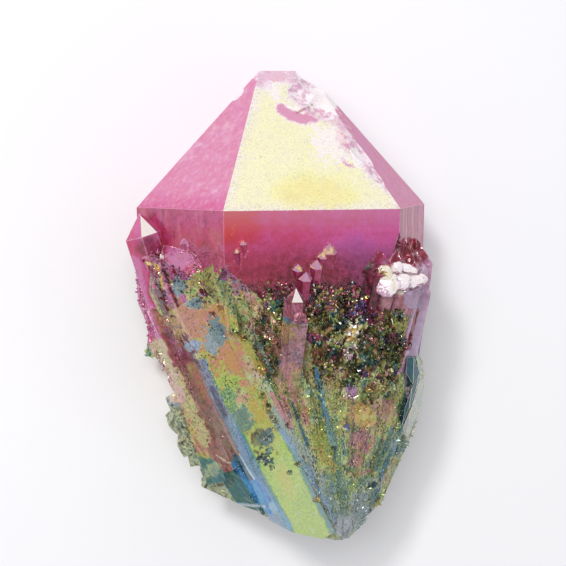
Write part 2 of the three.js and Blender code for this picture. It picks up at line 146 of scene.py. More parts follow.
class Crystal:
    """The side and tip faces of one named crystal, to find which faces are its own."""

    def __init__(self, name, head, foot, width, roll=0, depth=None, face=None, taper=0, level=False):
        self.name, self.width = name, width
        self.foot = np.array(foot, float)
        self.depth = depth or width * math.sqrt(3) / 2
        self.face = face or width / 2
        stem = np.array(head, float) - self.foot
        self.length = np.linalg.norm(stem)
        self.axis = axis = unit(stem)
        flat = unit(np.array([0.0, 0.0, 1.0]) - axis * axis[2])
        angle = math.radians(roll)
        self.flat = flat = flat * math.cos(angle) + np.cross(axis, flat) * math.sin(angle)
        self.side = side = unit(np.cross(axis, flat))
        turn = math.atan2((width - self.face) / 2, self.depth / 2)
        reach = (width / 2) * math.cos(turn)
        self.tip_height = (self.depth / 2) / math.tan(TIP_SLOPE)
        shoulder = np.array(head, float) - axis * self.tip_height
        self.walls = []
        self.tips = []
        for sign in (1, -1):
            sides = [(flat * sign, self.depth / 2, 0 if (level and sign < 0) else taper)]
            for hand in (1, -1):
                out = side * (hand * math.cos(turn)) + flat * (sign * math.sin(turn))
                sides.append((out, reach, taper))
            for out, far, lean in sides:
                lean = math.radians(lean)
                wall = out * math.cos(lean) - axis * math.sin(lean)
                self.walls.append((wall, wall.dot(shoulder + out * far)))
                self.tips.append(out * math.cos(TIP_SLOPE) + axis * math.sin(TIP_SLOPE))


# By kind: head, foot, width and roll, then depth, face, taper and level where it isn't regular.
CRYSTAL_ROWS = {
    "big": [((0, 15.293, 12.3), (0, -30, 12.3), 34, 0, 24.6, 19.8, 1.2, True)],
    "left": [((-17.1, -0.4, 14.2), (-13.4, -12, 14.4), 4.8, 0, 4.2, 1.8)],
    "flank": [((-15.7, -3.4, 11.6), (-7, -31, 12), 5.4, 20, None, None, 0.4),
        ((-13.8, -5, 8), (-6.5, -30, 9), 6, 8, None, None, 0.6)],
    "rods": [((-16.7, -4.4, 15.4), (-9.6, -20, 17), 1.6, 12),
        ((-15.7, -4.6, 16.8), (-8.6, -20, 18), 1.5, -10),
        ((-14.7, -4.8, 18.2), (-8, -18, 19.6), 1.5, 20)],
    "leftbits": [((-13.6, -1.9, 17.2), (-11.6, -9, 18.2), 1.3, 14),
        ((-12.9, -2.7, 18.8), (-10.6, -10, 19.6), 1.7, 4)],
    "glass_rod": [((-15.4, -9.6, 14.6), (-6.6, -29.6, 13.4), 3.6, 26, None, None, 0.4)],
    "plate": [((-14.9, -4.3, 19.4), (2.5, -37.6, 15), 6.8, -5, 5, 4.4, -0.3)],
    "strip": [((-10.9, -6.2, 21.4), (5, -37.4, 15.4), 3.4, -22, 3.4, 2.2, 0.1)],
    "ridge": [((-7.4, -7.4, 23.4), (4.6, -34, 17.4), 3, 12),
        ((-5.2, -10.6, 24), (4.6, -35, 16.6), 3, -8),
        ((-3.2, -13.4, 24), (5, -34, 16.6), 2.4, 6)],
    "upright": [((-2.2, -8.2, 25.7), (-2.4, -18.6, 23.2), 2.5),
        ((-1.7, -10.8, 26.1), (-2.2, -19.4, 23.4), 2.2, 10)],
    "sprout": [((-0.9, -6.6, 25.1), (-0.9, -12, 22.8), 1.6),
        ((-1.7, -5.8, 24.8), (-1.6, -9.6, 22.8), 1.2, 8),
        ((0.4, -5.4, 24.9), (0.4, -10.5, 22.6), 1.5, 5),
        ((1.1, -4.5, 24.8), (1.1, -8.5, 22.8), 1.2, -6),
        ((1.9, -3.6, 24.7), (1.8, -9, 22.4), 1.9)],
    "ledge": [((-9.1, -5, 23.8), (-8.6, -10, 23), 1.5, 10),
        ((-8.5, -3.9, 24.4), (-8, -7, 23.8), 1, -15),
        ((-7.7, -3.1, 24.5), (-7.5, -5.6, 23.9), 0.9, 20),
        ((-9.3, -6.8, 23.5), (-8.2, -13, 22.4), 1.7, -8),
        ((-6.1, -9.7, 24.7), (-5.8, -14, 23.8), 1.4, 14),
        ((-5.3, -11.4, 24.6), (-5, -15, 23.6), 1.2, 30)],
    "bunch": [((11.3, -3.4, 22.4), (9.6, -18, 19.4), 5.6, -9),
        ((13.9, -3.6, 18.4), (12, -20, 16.4), 5, 20),
        ((7.7, -4.5, 24.8), (6.8, -16, 20.8), 4.2, 4),
        ((9.6, -4.2, 24.2), (8.2, -15, 20.2), 3.6, -8),
        ((8.5, -6.2, 24.9), (7.2, -15, 21.4), 3.2, 10),
        ((12.9, -4.8, 21.4), (11, -16, 18), 3.8, -20),
        ((10.8, -6.4, 24), (9.6, -17, 20.6), 4, 25),
        ((13.5, -7.2, 20.6), (11.4, -20, 18.2), 3.8, -35)],
    "right_side": [((14.9, -8.2, 14.4), (11, -30, 13.4), 4.8, 16),
        ((14.2, -9, 16.8), (8.6, -27, 17.4), 3.2, -20)],
    "blade": [((14.3, -15.6, 15), (9.6, -32, 13.6), 4, 35, 3)],
    "splinter": [((16.2, -16.6, 10.4), (12.6, -29, 11.6), 3.8, 20, 3.2)],
    "low": [((14.4, -5.2, 8), (9.5, -29, 9), 5.6, 12, None, None, 0.5),
        ((12.8, -9, 4.8), (8, -30, 6.5), 4.6, -10),
        ((-12.2, -9, 4.8), (-5, -31, 7), 5, 14)],
    "runs": [((10.2, -23, 18.8), (7.4, -36, 14.4), 2.2, 14),
        ((12, -24.6, 17.2), (8.4, -36, 13), 2.2, -6),
        ((13.5, -26, 14.8), (9.2, -36, 12), 2.2, 10)],
    "slope": [((5.6, -14.6, 22.8), (6.2, -37, 14.2), 6.4, 6, None, 3.8),
        ((9, -15, 20.8), (7.4, -36, 13.4), 5, 24, None, 2.8),
        ((2.2, -16, 23), (5.2, -37, 15), 3.6, -12),
        ((0.8, -13.6, 24.4), (3.6, -26, 21.4), 1.9, 10),
        ((3.8, -12.4, 24.6), (3.8, -24, 22), 2.4, -12),
        ((6.8, -11.6, 24), (6.4, -24, 21), 2.6, 15),
        ((7.4, -16.6, 22.2), (7, -36, 14.2), 2.6, 10),
        ((10.8, -17.4, 19.8), (8, -36, 13.6), 2.8, 25),
        ((4.2, -18.6, 22.8), (5.8, -36, 15), 2.2, -15),
        ((12.2, -18.6, 18.2), (8.8, -36, 12.8), 2.6, 5)],
}
CRYSTALS = [Crystal(name, *row) for name, rows in CRYSTAL_ROWS.items() for row in rows]


def owners(centres, normals):
    """For each face, the crystal it belongs to (or -1) and whether it is a tip face."""
    owner = np.full(len(centres), -1)
    is_tip = np.zeros(len(centres), bool)
    for number, c in enumerate(CRYSTALS):
        along = (centres - c.foot) @ c.axis
        inside = (along > -0.01) & (along < c.length + c.width)
        on_wall = np.zeros(len(centres), bool)
        for wall, offset in c.walls:
            gap = centres @ wall - offset
            inside &= gap < ON_WALL
            on_wall |= (np.abs(gap) < ON_WALL) & (normals @ wall > SAME_WAY)
        on_tip = np.any([normals @ tip > SAME_WAY for tip in c.tips], axis=0)
        on_tip &= along > c.length - c.tip_height * 1.6
        hit = inside & (on_wall | on_tip)
        owner[hit] = number
        is_tip[hit] = on_tip[hit] & ~on_wall[hit]
    return owner, is_tip


# ---------------------------------------------------------------- fine mesh on the CAD's faces

def welded(mesh):
    """Corner points (mm, shoulder frame) and triangles of the CAD mesh, joined up."""
    points = np.zeros(len(mesh.vertices) * 3)
    mesh.vertices.foreach_get("co", points)
    points = points.reshape(-1, 3) / MM - SHIFT
    tris = np.zeros(len(mesh.polygons) * 3, int)
    mesh.polygons.foreach_get("vertices", tris)
    keys = np.round(points * 2e3).astype(np.int64)
    _, first, inverse = np.unique(keys, axis=0, return_index=True, return_inverse=True)
    tris = inverse.reshape(-1)[tris].reshape(-1, 3)
    good = (tris != np.roll(tris, -1, axis=1)).all(axis=1)
    return points[first], tris[good]


def edges_of(face):
    i, j, k = (int(corner) for corner in face)
    return [(min(e), max(e)) for e in ((i, j), (j, k), (k, i))]


def beside_edges(faces):
    """The triangles that meet at each edge."""
    beside = {}
    for t, face in enumerate(faces):
        for edge in edges_of(face):
            beside.setdefault(edge, []).append(t)
    return beside


def flat_regions(points, tris):
    """Groups the triangles into flat faces: region and area of each, and each plane."""
    a, b, c = points[tris].transpose(1, 0, 2)
    cross = np.cross(b - a, c - a)
    area = np.linalg.norm(cross, axis=1) / 2
    normal = cross / np.maximum(2 * area, TINY)[:, None]
    near = [[] for _ in tris]
    for pair in beside_edges(tris).values():
        if len(pair) == 2:
            near[pair[0]].append(pair[1])
            near[pair[1]].append(pair[0])
    region = np.full(len(tris), -1)
    planes = []
    for seed in np.argsort(-area):
        if region[seed] >= 0:
            continue
        n = normal[seed]
        d = n.dot(a[seed])
        region[seed] = len(planes)
        stack = [seed]
        while stack:
            for other in near[stack.pop()]:
                strays = np.abs(points[tris[other]] @ n - d).max() > ON_PLANE
                bends = area[other] > 1e-4 and normal[other].dot(n) < 0.98
                if region[other] < 0 and not strays and not bends:
                    region[other] = len(planes)
                    stack.append(other)
        planes.append((n, d))
    return region, area, planes


def in_loop(q, ends_a, ends_b):
    """Whether each 2D point lies inside the closed loops made by the segments."""
    y = q[:, 1][:, None]
    (xa, ya), (xb, yb) = ends_a.T, ends_b.T
    crosses = (ya > y) != (yb > y)
    with np.errstate(divide="ignore", invalid="ignore"):
        x = xa + (y - ya) / (yb - ya) * (xb - xa)
    return (crosses & (q[:, 0][:, None] < x)).sum(axis=1) % 2 == 1


def inside_faces(faces, fixed):
    """The triangles that lie inside the closed loops of fixed edges."""
    beside = beside_edges(faces)
    inside = {}
    for edge, pair in beside.items():
        if len(pair) == 1:
            inside.setdefault(pair[0], edge in fixed)
    stack = list(inside)
    while stack:
        t = stack.pop()
        for edge in edges_of(faces[t]):
            for other in beside[edge]:
                if other not in inside:
                    inside[other] = inside[t] != (edge in fixed)
                    stack.append(other)
    return [t for t in range(len(faces)) if inside.get(t)]


def gap_to(q, ends_a, ends_b):
    """Distance from each 2D point to the nearest segment."""
    best = np.full(len(q), 1e9)
    for a, b in zip(ends_a, ends_b):
        run = b - a
        t = np.clip((q - a) @ run / max(run @ run, TINY), 0, 1)
        best = np.minimum(best, np.linalg.norm(q - a - t[:, None] * run, axis=1))
    return best


def scattered_grid(rim, s, ends_a, ends_b):
    """Jittered points at spacing s inside a face, and how far each is from its rim."""
    low, high = rim.min(axis=0), rim.max(axis=0)
    if (high - low).min() <= s:
        return np.zeros((0, 2)), np.zeros(0)
    rows = int((high[1] - low[1]) / (s * ROW)) + 1
    cols = int((high[0] - low[0]) / s) + 2
    gy, gx = np.mgrid[0:rows, 0:cols]
    grid = np.stack([low[0] + (gx + gy % 2 * 0.5).ravel() * s, low[1] + gy.ravel() * s * ROW], axis=1)
    grid += rng.uniform(-0.18 * s, 0.18 * s, grid.shape)
    grid = grid[in_loop(grid, ends_a, ends_b)]
    gap = gap_to(grid, ends_a, ends_b)
    keep = gap > 0.45 * s
    return grid[keep], gap[keep]


def refine(points, tris, region, planes, spacing):
    """Divides every flat face finely.  Returns points, triangles, the region of each
    triangle, and each point's distance to the edge of its face."""
    out_points = [tuple(p) for p in points]
    out_gap = [0.0] * len(points)
    chains = {}
    borders = [[] for _ in planes]
    for edge, pair in beside_edges(tris).items():
        sides = {int(region[t]) for t in pair}
        if len(sides) < 2:
            continue
        a, b = points[edge[0]], points[edge[1]]
        parts = max(1, int(round(np.linalg.norm(a - b) / min(spacing[r] for r in sides))))
        start = len(out_points)
        out_points += [tuple(a + (b - a) * (k / parts)) for k in range(1, parts)]
        chains[edge] = [edge[0], *range(start, len(out_points)), edge[1]]
        for r in sides:
            borders[r].append(edge)
    out_gap += [0.0] * (len(out_points) - len(out_gap))
    out_tris = []
    out_region = []
    for r, (n, d) in enumerate(planes):
        if len(borders[r]) < 3:
            continue
        helper = np.array([1.0, 0, 0]) if abs(n[0]) < 0.7 else np.array([0, 1.0, 0])
        u = unit(np.cross(n, helper))
        v = np.cross(n, u)
        ids = list(dict.fromkeys(k for edge in borders[r] for k in chains[edge]))
        where = {k: number for number, k in enumerate(ids)}
        segments = [(where[i], where[j]) for edge in borders[r]
                    for i, j in zip(chains[edge], chains[edge][1:])]
        rim = np.array([out_points[k] for k in ids])
        rim = np.stack([rim @ u, rim @ v], axis=1)
        ends_a, ends_b = (rim[[where[edge[k]] for edge in borders[r]]] for k in (0, 1))
        grid, gap = scattered_grid(rim, spacing[r], ends_a, ends_b)
        ids += range(len(out_points), len(out_points) + len(grid))
        out_points += [tuple(p) for p in grid[:, 0:1] * u + grid[:, 1:2] * v + d * n]
        out_gap += list(gap)
        places = [Vector(p) for p in np.vstack([rim, grid])]
        verts, edges, faces, origin, edge_from, _ = delaunay_2d_cdt(places, segments, [], 0, 1e-7)
        fixed = {tuple(sorted(e)) for e, source in zip(edges, edge_from) if source}
        link = []
        for p, source in zip(verts, origin):
            if source:
                link.append(ids[source[0]])
                continue
            link.append(len(out_points))
            out_points.append(tuple(p[0] * u + p[1] * v + d * n))
            out_gap.append(0.0)
        made = np.array([faces[k] for k in inside_faces(faces, fixed)], int).reshape(-1, 3)
        out_tris.append(np.array(link)[made])
        out_region.append(np.full(len(made), r))
    return np.array(out_points), np.vstack(out_tris), np.concatenate(out_region), np.array(out_gap)


# ---------------------------------------------------------------- regions of the surface

base_points, base_tris = welded(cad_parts["quartz_cluster"].data)
region, area, planes = flat_regions(base_points, base_tris)
middle = np.zeros((len(planes), 3))
size = np.bincount(region, area)
np.add.at(middle, region, base_points[base_tris].mean(axis=1) * area[:, None])
middle /= np.maximum(size, TINY)[:, None]
plane_normal = np.array([n for n, _ in planes])
facing = plane_normal @ unit(EYE_BACK)
owner, is_tip = owners(middle, plane_normal)
FIRST_UPRIGHT = [c.name for c in CRYSTALS].index("upright")
PLATE = next(c for c in CRYSTALS if c.name == "plate")


def kind_of(number):
    """What a flat face is, from its crystal, or from where it lies."""
    x, y, z = middle[number]
    n = plane_normal[number]
    name = CRYSTALS[owner[number]].name if owner[number] >= 0 else None
    # Tip faces of some small crystals that turn up, towards the lamps, become sparks: painted glints.
    if name and is_tip[number] and n[2] > 0.55 and (
            name in ("left", "sprout") or owner[number] == FIRST_UPRIGHT or (name == "ledge" and y > -6)):
        return "spark"
    if name == "plate" and is_tip[number]:
        return "left"
    if name and name != "big":
        return name
    if name and n[2] < (0 if is_tip[number] else 0.3):
        return "back"
    if name and is_tip[number]:
        return "front_tip" if abs(n[0]) < 0.2 else ("left_tip" if n[0] < 0 else "right_tip")
    if name and n[2] > 0.9:
        return "front"
    if name:
        return "left_side" if n[0] < 0 else "right_side_big"
    if y > 0.5:
        return "chip"
    if n[2] < -0.5 and z < 9:
        return "under"
    if y < -37.5 or (y < -34 and n[1] < -0.8):
        return "root"
    if x < -6.5 and y < -20.5 and z < 14.5 and size[number] < 6:
        return "knob"
    if -9.5 < x < 1 and y < -27.5 and z < 15.2:
        return "glass"
    return "crust" if z > 17 and size[number] < 4 else "mass"


kinds = np.array([kind_of(r) for r in range(len(planes))])
spacing = np.where(facing > -0.3, SEEN, COARSE)
spacing[(facing > 0.08) & (middle[:, 1] < 0.5) & (middle[:, 2] > 5)] = CLOSE
rng = np.random.default_rng(5)
points, tris, tri_region, gap = refine(base_points, base_tris, region, planes, spacing)
tri_kind = kinds[tri_region]
pairs = np.unique(np.stack([tris.ravel(), np.repeat(tri_region, 3)], axis=1), axis=0)
point_normal = np.zeros((len(points), 3))
np.add.at(point_normal, pairs[:, 0], plane_normal[pairs[:, 1]])
point_normal /= np.maximum(np.linalg.norm(point_normal, axis=1), 1e-9)[:, None]
corner_kind = np.repeat(tri_kind, 3)
point_kind = np.zeros(len(points), kinds.dtype)
point_kind[tris.ravel()] = corner_kind


# ---------------------------------------------------------------- fine relief

x, y, z = points.T
from_root = points - ROOT
reach = np.linalg.norm(from_root, axis=1)
fan_x, fan_z = (np.arctan2(from_root[:, k], from_root[:, 1]) * 30 for k in (0, 2))
fan = np.stack([fan_x, fan_z, reach * 0.1], axis=1)


def noise_at(across, along, deep, seed, layers=1):
    """Noise stretched along one of the surface's own directions."""
    return fbm(np.stack([across, along, deep], axis=1), layers, seed)


lines = fbm(fan * [1.5, 1.5, 1.2], 3, 11)
ladder = noise_at(fan_x * 0.25, fan_z * 0.25, reach * 2.4, 23)
rungs = noise_at(x * 0.12, y * 3.2, z * 0.12, 29)
rough = fbm(points * 1.3, 4, 31)
patch = fbm(points * 0.35, 3, 37)
fine = fbm(points * 3.4, 2, 41)
near, cell = cells(points * 1.5, 43)
steps = noise_at(x * 0.05, y * 1.7 + 0.5 * rough, z * 0.05, 149)
waves = fbm(points * [0.9, 1.3, 0.9] + 4, 2, 97)


def on(*names):
    """1 at points of the named kinds."""
    return np.isin(point_kind, names).astype(float)


# depths in mm, taken off the flat faces along their normals
craggy = on("crust", "mass", "slope", "ridge", "strip", "runs", "knob", "low", "rods", "flank",
            "right_side", "leftbits", "upright", "ledge")
calm = on("plate", "glass_rod", "glass", "blade", "splinter", "bunch")
pitted = np.clip(step(0.42, 0.6, patch) + on("knob", "crust") * 0.5, 0, 1)
pit = step(0.34, 0.12, near) * (cell > 0.35)
relief = -craggy * (0.16 * (1 - lines) * (1 - on("knob", "crust")) + 0.035 * ladder
                    + 0.16 * (rough - 0.3) + 0.22 * pitted * pit)
relief -= (0.06 * on("knob") + 0.14 * on("crust")) * fine
relief -= calm * (0.03 * ladder + 0.03 * rough)
relief -= on("plate") * 0.10 * pit * step(0.56, 0.66, patch)
relief -= on("front", "left_side", "right_side_big") * (0.02 * rungs + 0.02 * rough)
relief -= on("back", "right_side_big") * (y < 0.4) * 0.05 * step(0.40, 0.55, steps)
relief -= on("front_tip", "left_tip", "right_tip", "back") * 0.02 * rough
relief -= on("front_tip") * 0.035 * step(0.16, 0.05, near) * (cell > 0.5)
relief -= on("chip") * (0.05 * fine + 0.05 * rungs)
relief -= on("root") * 0.2 * rough
relief -= on("bunch") * 0.55 * np.abs(waves - 0.5) * 2 * step(-10.5, -9, y)
relief *= np.clip(gap / 0.25, 0.35, 1.0)
relief[z < 0.02] = 0.0
shaped = points + point_normal * relief[:, None]


# ---------------------------------------------------------------- film and haze

# Each point's film value (0 thin and pale, then gold, red, magenta, violet, blue, teal,
# green, lime, gold, salmon, mauve), its white haze (milky film, and also painted highlights
# and painted reflections), darkness, pits, how mottled it is, its roughness, how metallic it
# is and how bright its edges are (a painted highlight along them).  They are worked out kind
# by kind, because a crystal's film changes at its edges.  Places are in mm from the shoulders.

PLAIN = dict(film=0.3, haze=0, dark=0, pits=0, mottle=0.03, gloss=0.22, metal=0.35, edge=0)
ELEMENTS = list(PLAIN)

# noise from -0.5 to 0.5, from broad to fine, and in the direction that the crystals run
broad = fbm(points * 0.55 + 9, 3, 61) - 0.5
mid = fbm(points * 1.1 + 5, 3, 67) - 0.5
grit = fbm(points * 2.6, 2, 73) - 0.5
veins = fbm(fan * [0.8, 0.8, 0.6] + 3, 4, 71) - 0.5
hairs = fbm(fan * [2.2, 2.2, 1.3] + 8, 3, 83) - 0.5


def oval(dx, dy, wide, tall, turn):
    """Distance from an oval's middle, 1 on its rim."""
    c, s = math.cos(math.radians(turn)), math.sin(math.radians(turn))
    return np.sqrt(((dx * c + dy * s) / wide) ** 2 + ((dy * c - dx * s) / tall) ** 2)


def spot(cx, cy, wide, tall, turn=0, ragged=0.9):
    """1 at a place on the front, fading to 0 at an oval's rim."""
    return step(1.25, 0.55, oval(x - cx, y - cy, wide, tall, turn) + (rough - 0.5) * ragged)


def spots(*places):
    """1 at any of several places."""
    return np.maximum.reduce([spot(*place) for place in places])


def over(film, mask, tone):
    """The film with one tone wherever the mask is more than half."""
    return np.where(mask > 0.5, tone, film)


# The tip face: pale yellow and white, partly its milky film and partly a painted reflection of the lamps
# that it mirrors; the white along its borders is a painted highlight.
def look_front_tip():
    border = step(1.5, 0.1, gap + 0.8 * grit)
    pink = step(0.3, 1.05, 0.6 * step(6.5, 12.5, y) + 0.75 * step(5.5, 9.5, x + 0.5 * y - 1.5)
                + 0.7 * broad + 0.12 * border)
    film = 0.046 + 0.016 * spot(0.6, 1.6, 4.5, 2.2, 0, 0.4) + 0.006 * mid
    haze = 0.31 + 0.3 * mid + 0.42 * border * step(-0.15, 0.1, grit)
    haze = haze - 0.22 * spot(0.6, 1.8, 5.5, 2.6, 0, 0.5)
    haze = np.maximum(blend(haze, 0.51 + 0.3 * grit, step(0.5, 0.9, pink)),
                      1 - 2.2 * np.abs(pink - 0.5))
    prick = step(0.15, 0.07, near) * (cell > 0.62)
    smudge = step(0.02, 0.25, hairs) * step(-0.1, 0.2, mid)
    return dict(film=np.where(pink > 0.5, 0.318, film), haze=haze * (1 - 0.5 * prick),
                dark=0.04 + 0.04 * grit + 0.08 * smudge + 0.26 * prick, mottle=0.006, gloss=0.3,
                metal=0.1, pits=0.05 + 0.24 * border, edge=0.9)


def look_left_tip():
    haze = 0.14 + 0.16 * step(0, 0.25, mid) * step(-0.1, 0.12, broad) + 0.15 * (grit + 0.2)
    haze = haze + 0.12 * step(0.6, 0.72, fine) - 0.14 * step(2.6, -0.2, y)
    return dict(film=0.298 + 0.02 * broad, haze=haze, mottle=0.012, gloss=0.34, metal=0.1, edge=0.25)


def look_right_tip():
    haze = 0.2 * mid + 0.08 * step(0.55, 0.72, fine)
    return dict(film=0.302 + 0.03 * broad, haze=haze, mottle=0.02, gloss=0.48, metal=0.3, edge=0.4)


def look_back():
    lower = step(-8, -19, y + 5 * broad)
    film = blend(0.29 + 0.05 * broad, 0.25, step(-1, -9, y))
    film = over(film, lower, 0.86 + 0.3 * veins)
    return dict(film=film, haze=0.28 * step(-6, 4, y) + 0.08 + 0.2 * (mid + 0.1),
                dark=0.15 + 0.35 * step(0.6, 0.3, np.abs(lower - 0.5) * 2), mottle=0.03, gloss=0.3,
                metal=0.15, pits=0.3 * lower)


def look_front():
    film = 0.278 + 0.003 * (x + 2) + 0.03 * broad
    film = blend(film, 0.208, spot(-8.4, -1.4, 3, 2.6, 0, 0.5))
    film = blend(film, 0.345, spot(4.6, -4.6, 3.4, 2, 10, 0.5) * 0.7)
    film = blend(film, 0.235, step(-3.6, -7, y + 1.5 * broad) * step(6.5, 1, x))
    dark = 0.03 + (0.44 + 0.18 * step(-7, -2, x)) * step(-2, -7.2, y + 0.6 * mid)
    dark = dark + 0.1 * (rungs - 0.5)
    dark = dark + 0.36 * step(-7.6, -9.4, y + mid)
    return dict(film=film, haze=0.12 * step(-3, 0, y) + 0.03, dark=dark, mottle=0.016, gloss=0.18,
                metal=0.2, pits=0.06 + 0.5 * step(-6.5, -8.5, y),
                edge=0.35 * ((y > -0.6) | (np.abs(x) > 9.4)))


def look_left_side():
    low = step(-4, -9, y + 0.35 * (x + 13) + 2.5 * mid)
    film = blend(0.245 + 0.05 * veins, 0.275, step(-3.5, -1, y))
    film = blend(film, 0.3, low * step(-0.05, 0.1, mid))
    haze = 0.08 * step(0.52, 0.75, lines) + 0.06 * step(-2.2, 0.4, y) + 0.12 * low * step(0, 0.2, grit)
    dark = 0.22 + 0.16 * step(0.52, 0.36, lines) + 0.24 * low + 0.14 * grit
    return dict(film=film, haze=haze, dark=dark, pits=0.12 + 0.5 * low, mottle=0.02, gloss=0.3,
                metal=0.2)


def look_right_side_big():
    thin = noise_at(x * 1.6 + 7, y * 0.12 + 7, z * 1.6 + 7, 151, 3)
    return dict(film=0.275 + 0.1 * (thin - 0.5), haze=0.9 * (thin - 0.56),
                dark=0.14 * step(-2, -9, y) + 0.3 + 1.1 * (0.5 - thin), gloss=0.42, metal=0.4)


def look_left():
    tone = step(0, -6, y)
    under_tip = spot(-16.4, -4.2, 1.3, 1.3, 0, 0.3)
    film = blend(0.305 + 0.04 * mid, 0.27, under_tip)
    return dict(film=film - 0.012, haze=0.07 + 0.1 * broad - 0.04 * tone,
                dark=0.08 + 0.45 * under_tip + 0.1 * tone, gloss=0.18, metal=0.3, edge=0.35)


# Tips that turn up to the lamps: white or gold, painted glints, and violet on some of the small ones.
def look_spark():
    small = (x > -12) & (y > -8)
    golden = small * step(-0.06, 0.06, grit)
    violet = small * (1 - golden)
    return dict(film=0.04 + 0.07 * golden + 0.34 * violet, haze=0.8 - 0.5 * golden - 0.45 * violet,
                dark=0.12 * small, gloss=0.1, metal=0.25, mottle=0.02)


def look_flank():
    down = step(-7, -18, y + 3 * mid)
    film = 0.32 - 0.03 * down + 0.05 * veins
    film = np.where(down + hairs > 0.45, 0.895 + 0.07 * mid, film)
    film = np.where(hairs > 0.1, 0.8 + 0.04 * mid, film)
    dark = 0.05 + 0.62 * step(-0.04, -0.16, hairs) * (1 - 0.4 * down)
    return glassy_foot(dict(film=film, haze=0.1 + 0.1 * mid, dark=dark, pits=0.45, mottle=0.03,
                            gloss=0.24, metal=0.3, edge=0))


def mixed(look, other, share):
    """A look whose own values go over to another look's."""
    return {name: blend(value, other.get(name, PLAIN[name]), share) for name, value in look.items()}


def glassy_foot(look):
    """Below the brown rod the surface is a broken, glassy dark green."""
    foot = step(-28.4, -29.2, y + 0.25 * (x + 8) + 0.5 * grit) * (x < -2.6) * (z < 16.4)
    return mixed(look, GLASS, foot)


def look_rods():
    film = np.where(lines > 0.47, 0.31 + 0.03 * mid, 0.22)
    film = np.where(hairs > 0.12, 0.82, film)
    return dict(film=film, dark=0.1 + 0.6 * step(0.5, 0.4, lines), haze=0.1, pits=0.3, gloss=0.16,
                metal=0.3, edge=0.3)


def look_glass_rod():
    film = 0.165 + 0.05 * veins
    return dict(film=np.where(y > -11, 0.25, film),
                dark=0.62 + 0.25 * mid + 0.1 * step(-20, -28, y) + 0.25 * hairs,
                haze=0.12 + 0.12 * step(0, 0.2, hairs), mottle=0.03, gloss=0.08, metal=0.1, pits=0.1,
                edge=0.3)


def look_plate():
    from_foot = points - PLATE.foot
    along = from_foot @ PLATE.axis / PLATE.length
    left_hand = x < PLATE.foot[0] + along * PLATE.length * PLATE.axis[0]
    drop = PLATE.depth / 2 - from_foot @ PLATE.flat
    rim = np.abs(from_foot @ PLATE.side) / (PLATE.face / 2)
    wall = (rim > 1.03) | (drop > 0.5)
    top = step(0.4, 0.52, along + 0.2 * broad)
    half_way = step(0.26, 0.4, along + 0.16 * mid)
    film = 0.735 + 0.02 * broad
    film = blend(film, 0.77 + 0.05 * mid, half_way)
    film = over(film, spot(-8, -20.8, 1.9, 1.7), 0.73)
    film = blend(film, 0.69, spot(-6.6, -23, 2.6, 1.5) * 0.85)
    film = over(film, top * step(-0.06, 0, mid), 0.885 + 0.05 * grit)
    film = over(film, top * step(0.03, 0.06, grit), 0.78)
    film = over(film, spot(-8.9, -13.4, 0.8, 2.6, 25), 0.81 + 0.04 * grit)
    film = over(film, spot(-9.2, -15.6, 0.9, 1, 25), 0.885)
    film = np.where(along + 0.1 * mid > 0.84, 0.905 + 0.05 * grit, film)
    haze = 0.06 + 0.18 * spot(-7.4, -22, 2.6, 2.4) + 0.1 * step(0.08, 0.2, grit)
    haze = haze + 0.06 * step(0.35, 0.15, along)
    slate = spots((-14.4, -8.3, 0.8, 1.3, 20), (-12.7, -10.1, 0.9, 0.7), (-10.5, -14.4, 0.9, 1.9, 25),
                  (-12, -16.6, 0.6, 1.2, 20))
    edge = step(0.72, 0.98, rim + 0.25 * mid) * step(0.8, 0.45, along)
    film = over(film, slate, 0.61)
    film = blend(film, 0.6, edge * 0.9)
    low = step(0.3, 0.16, along)
    side_film = blend(0.16 + 0.1 * veins, 0.55, np.maximum(step(1.3, 0.5, drop), low))
    side_film = np.where(along > 0.62, 0.29, side_film)
    film = np.where(wall & left_hand, side_film, film)
    film = np.where(wall & ~left_hand, 0.6, film)
    haze = haze + 0.35 * (slate > 0.5) + 0.22 * wall * low
    hole = spot(-4.7, -25.4, 1.15, 1.15, 20)
    speck = spot(-4.2, -27.6, 1.2, 1.6, 25) * step(-0.04, 0.04, grit)
    dark = 0.02 + 0.62 * (np.maximum(hole, speck) > 0.5) + 0.12 * (slate > 0.5)
    dark = dark + 0.55 * step(0.07, 0.12, grit) * step(0, 0.08, mid) * step(0.3, 0.5, along) * ~wall
    dark = dark + wall * (0.6 * step(0.14, 0.3, along) * step(0.3, 0.8, drop) + 0.08)
    bare = step(0.45, 0.2, along) * ~wall
    return dict(film=film, haze=haze + 0.15 * hole + 0.08 * bare, dark=dark,
                pits=0.22 + 0.28 * top + 0.35 * wall, mottle=0.012 + 0.03 * wall, gloss=0.2,
                metal=0.25 - 0.17 * bare, edge=0.25)


def rough_ground(base, spread, darkness, milk=0):
    """The olive, green, gold and pink of the pitted lower half, in streaks from the root."""
    film = base + spread * (veins + 0.6 * mid + 0.4 * hairs)
    dark = darkness + 0.44 * step(-0.06, -0.18, hairs) + 0.2 * step(0.45, 0.3, rough)
    return dict(film=film, dark=dark, haze=0.15 + milk + 0.2 * step(0.06, 0.2, grit), pits=0.8,
                mottle=0.05, gloss=0.2, metal=0.28)


def look_strip():
    ground = rough_ground(0.76, 0.26, 0, 0.1)
    film = blend(ground["film"], 0.87, step(-20, -12, y) * step(0, 0.06, mid))
    return dict(ground, film=over(film, spot(-1.6, -22.2, 0.7, 2.4, 28), 0.92), pits=0.5)


def look_ridge():
    ground = rough_ground(0.78, 0.42, 0.02)
    return dict(ground, film=np.where((y > -16) & (mid > 0), 0.9, ground["film"]))


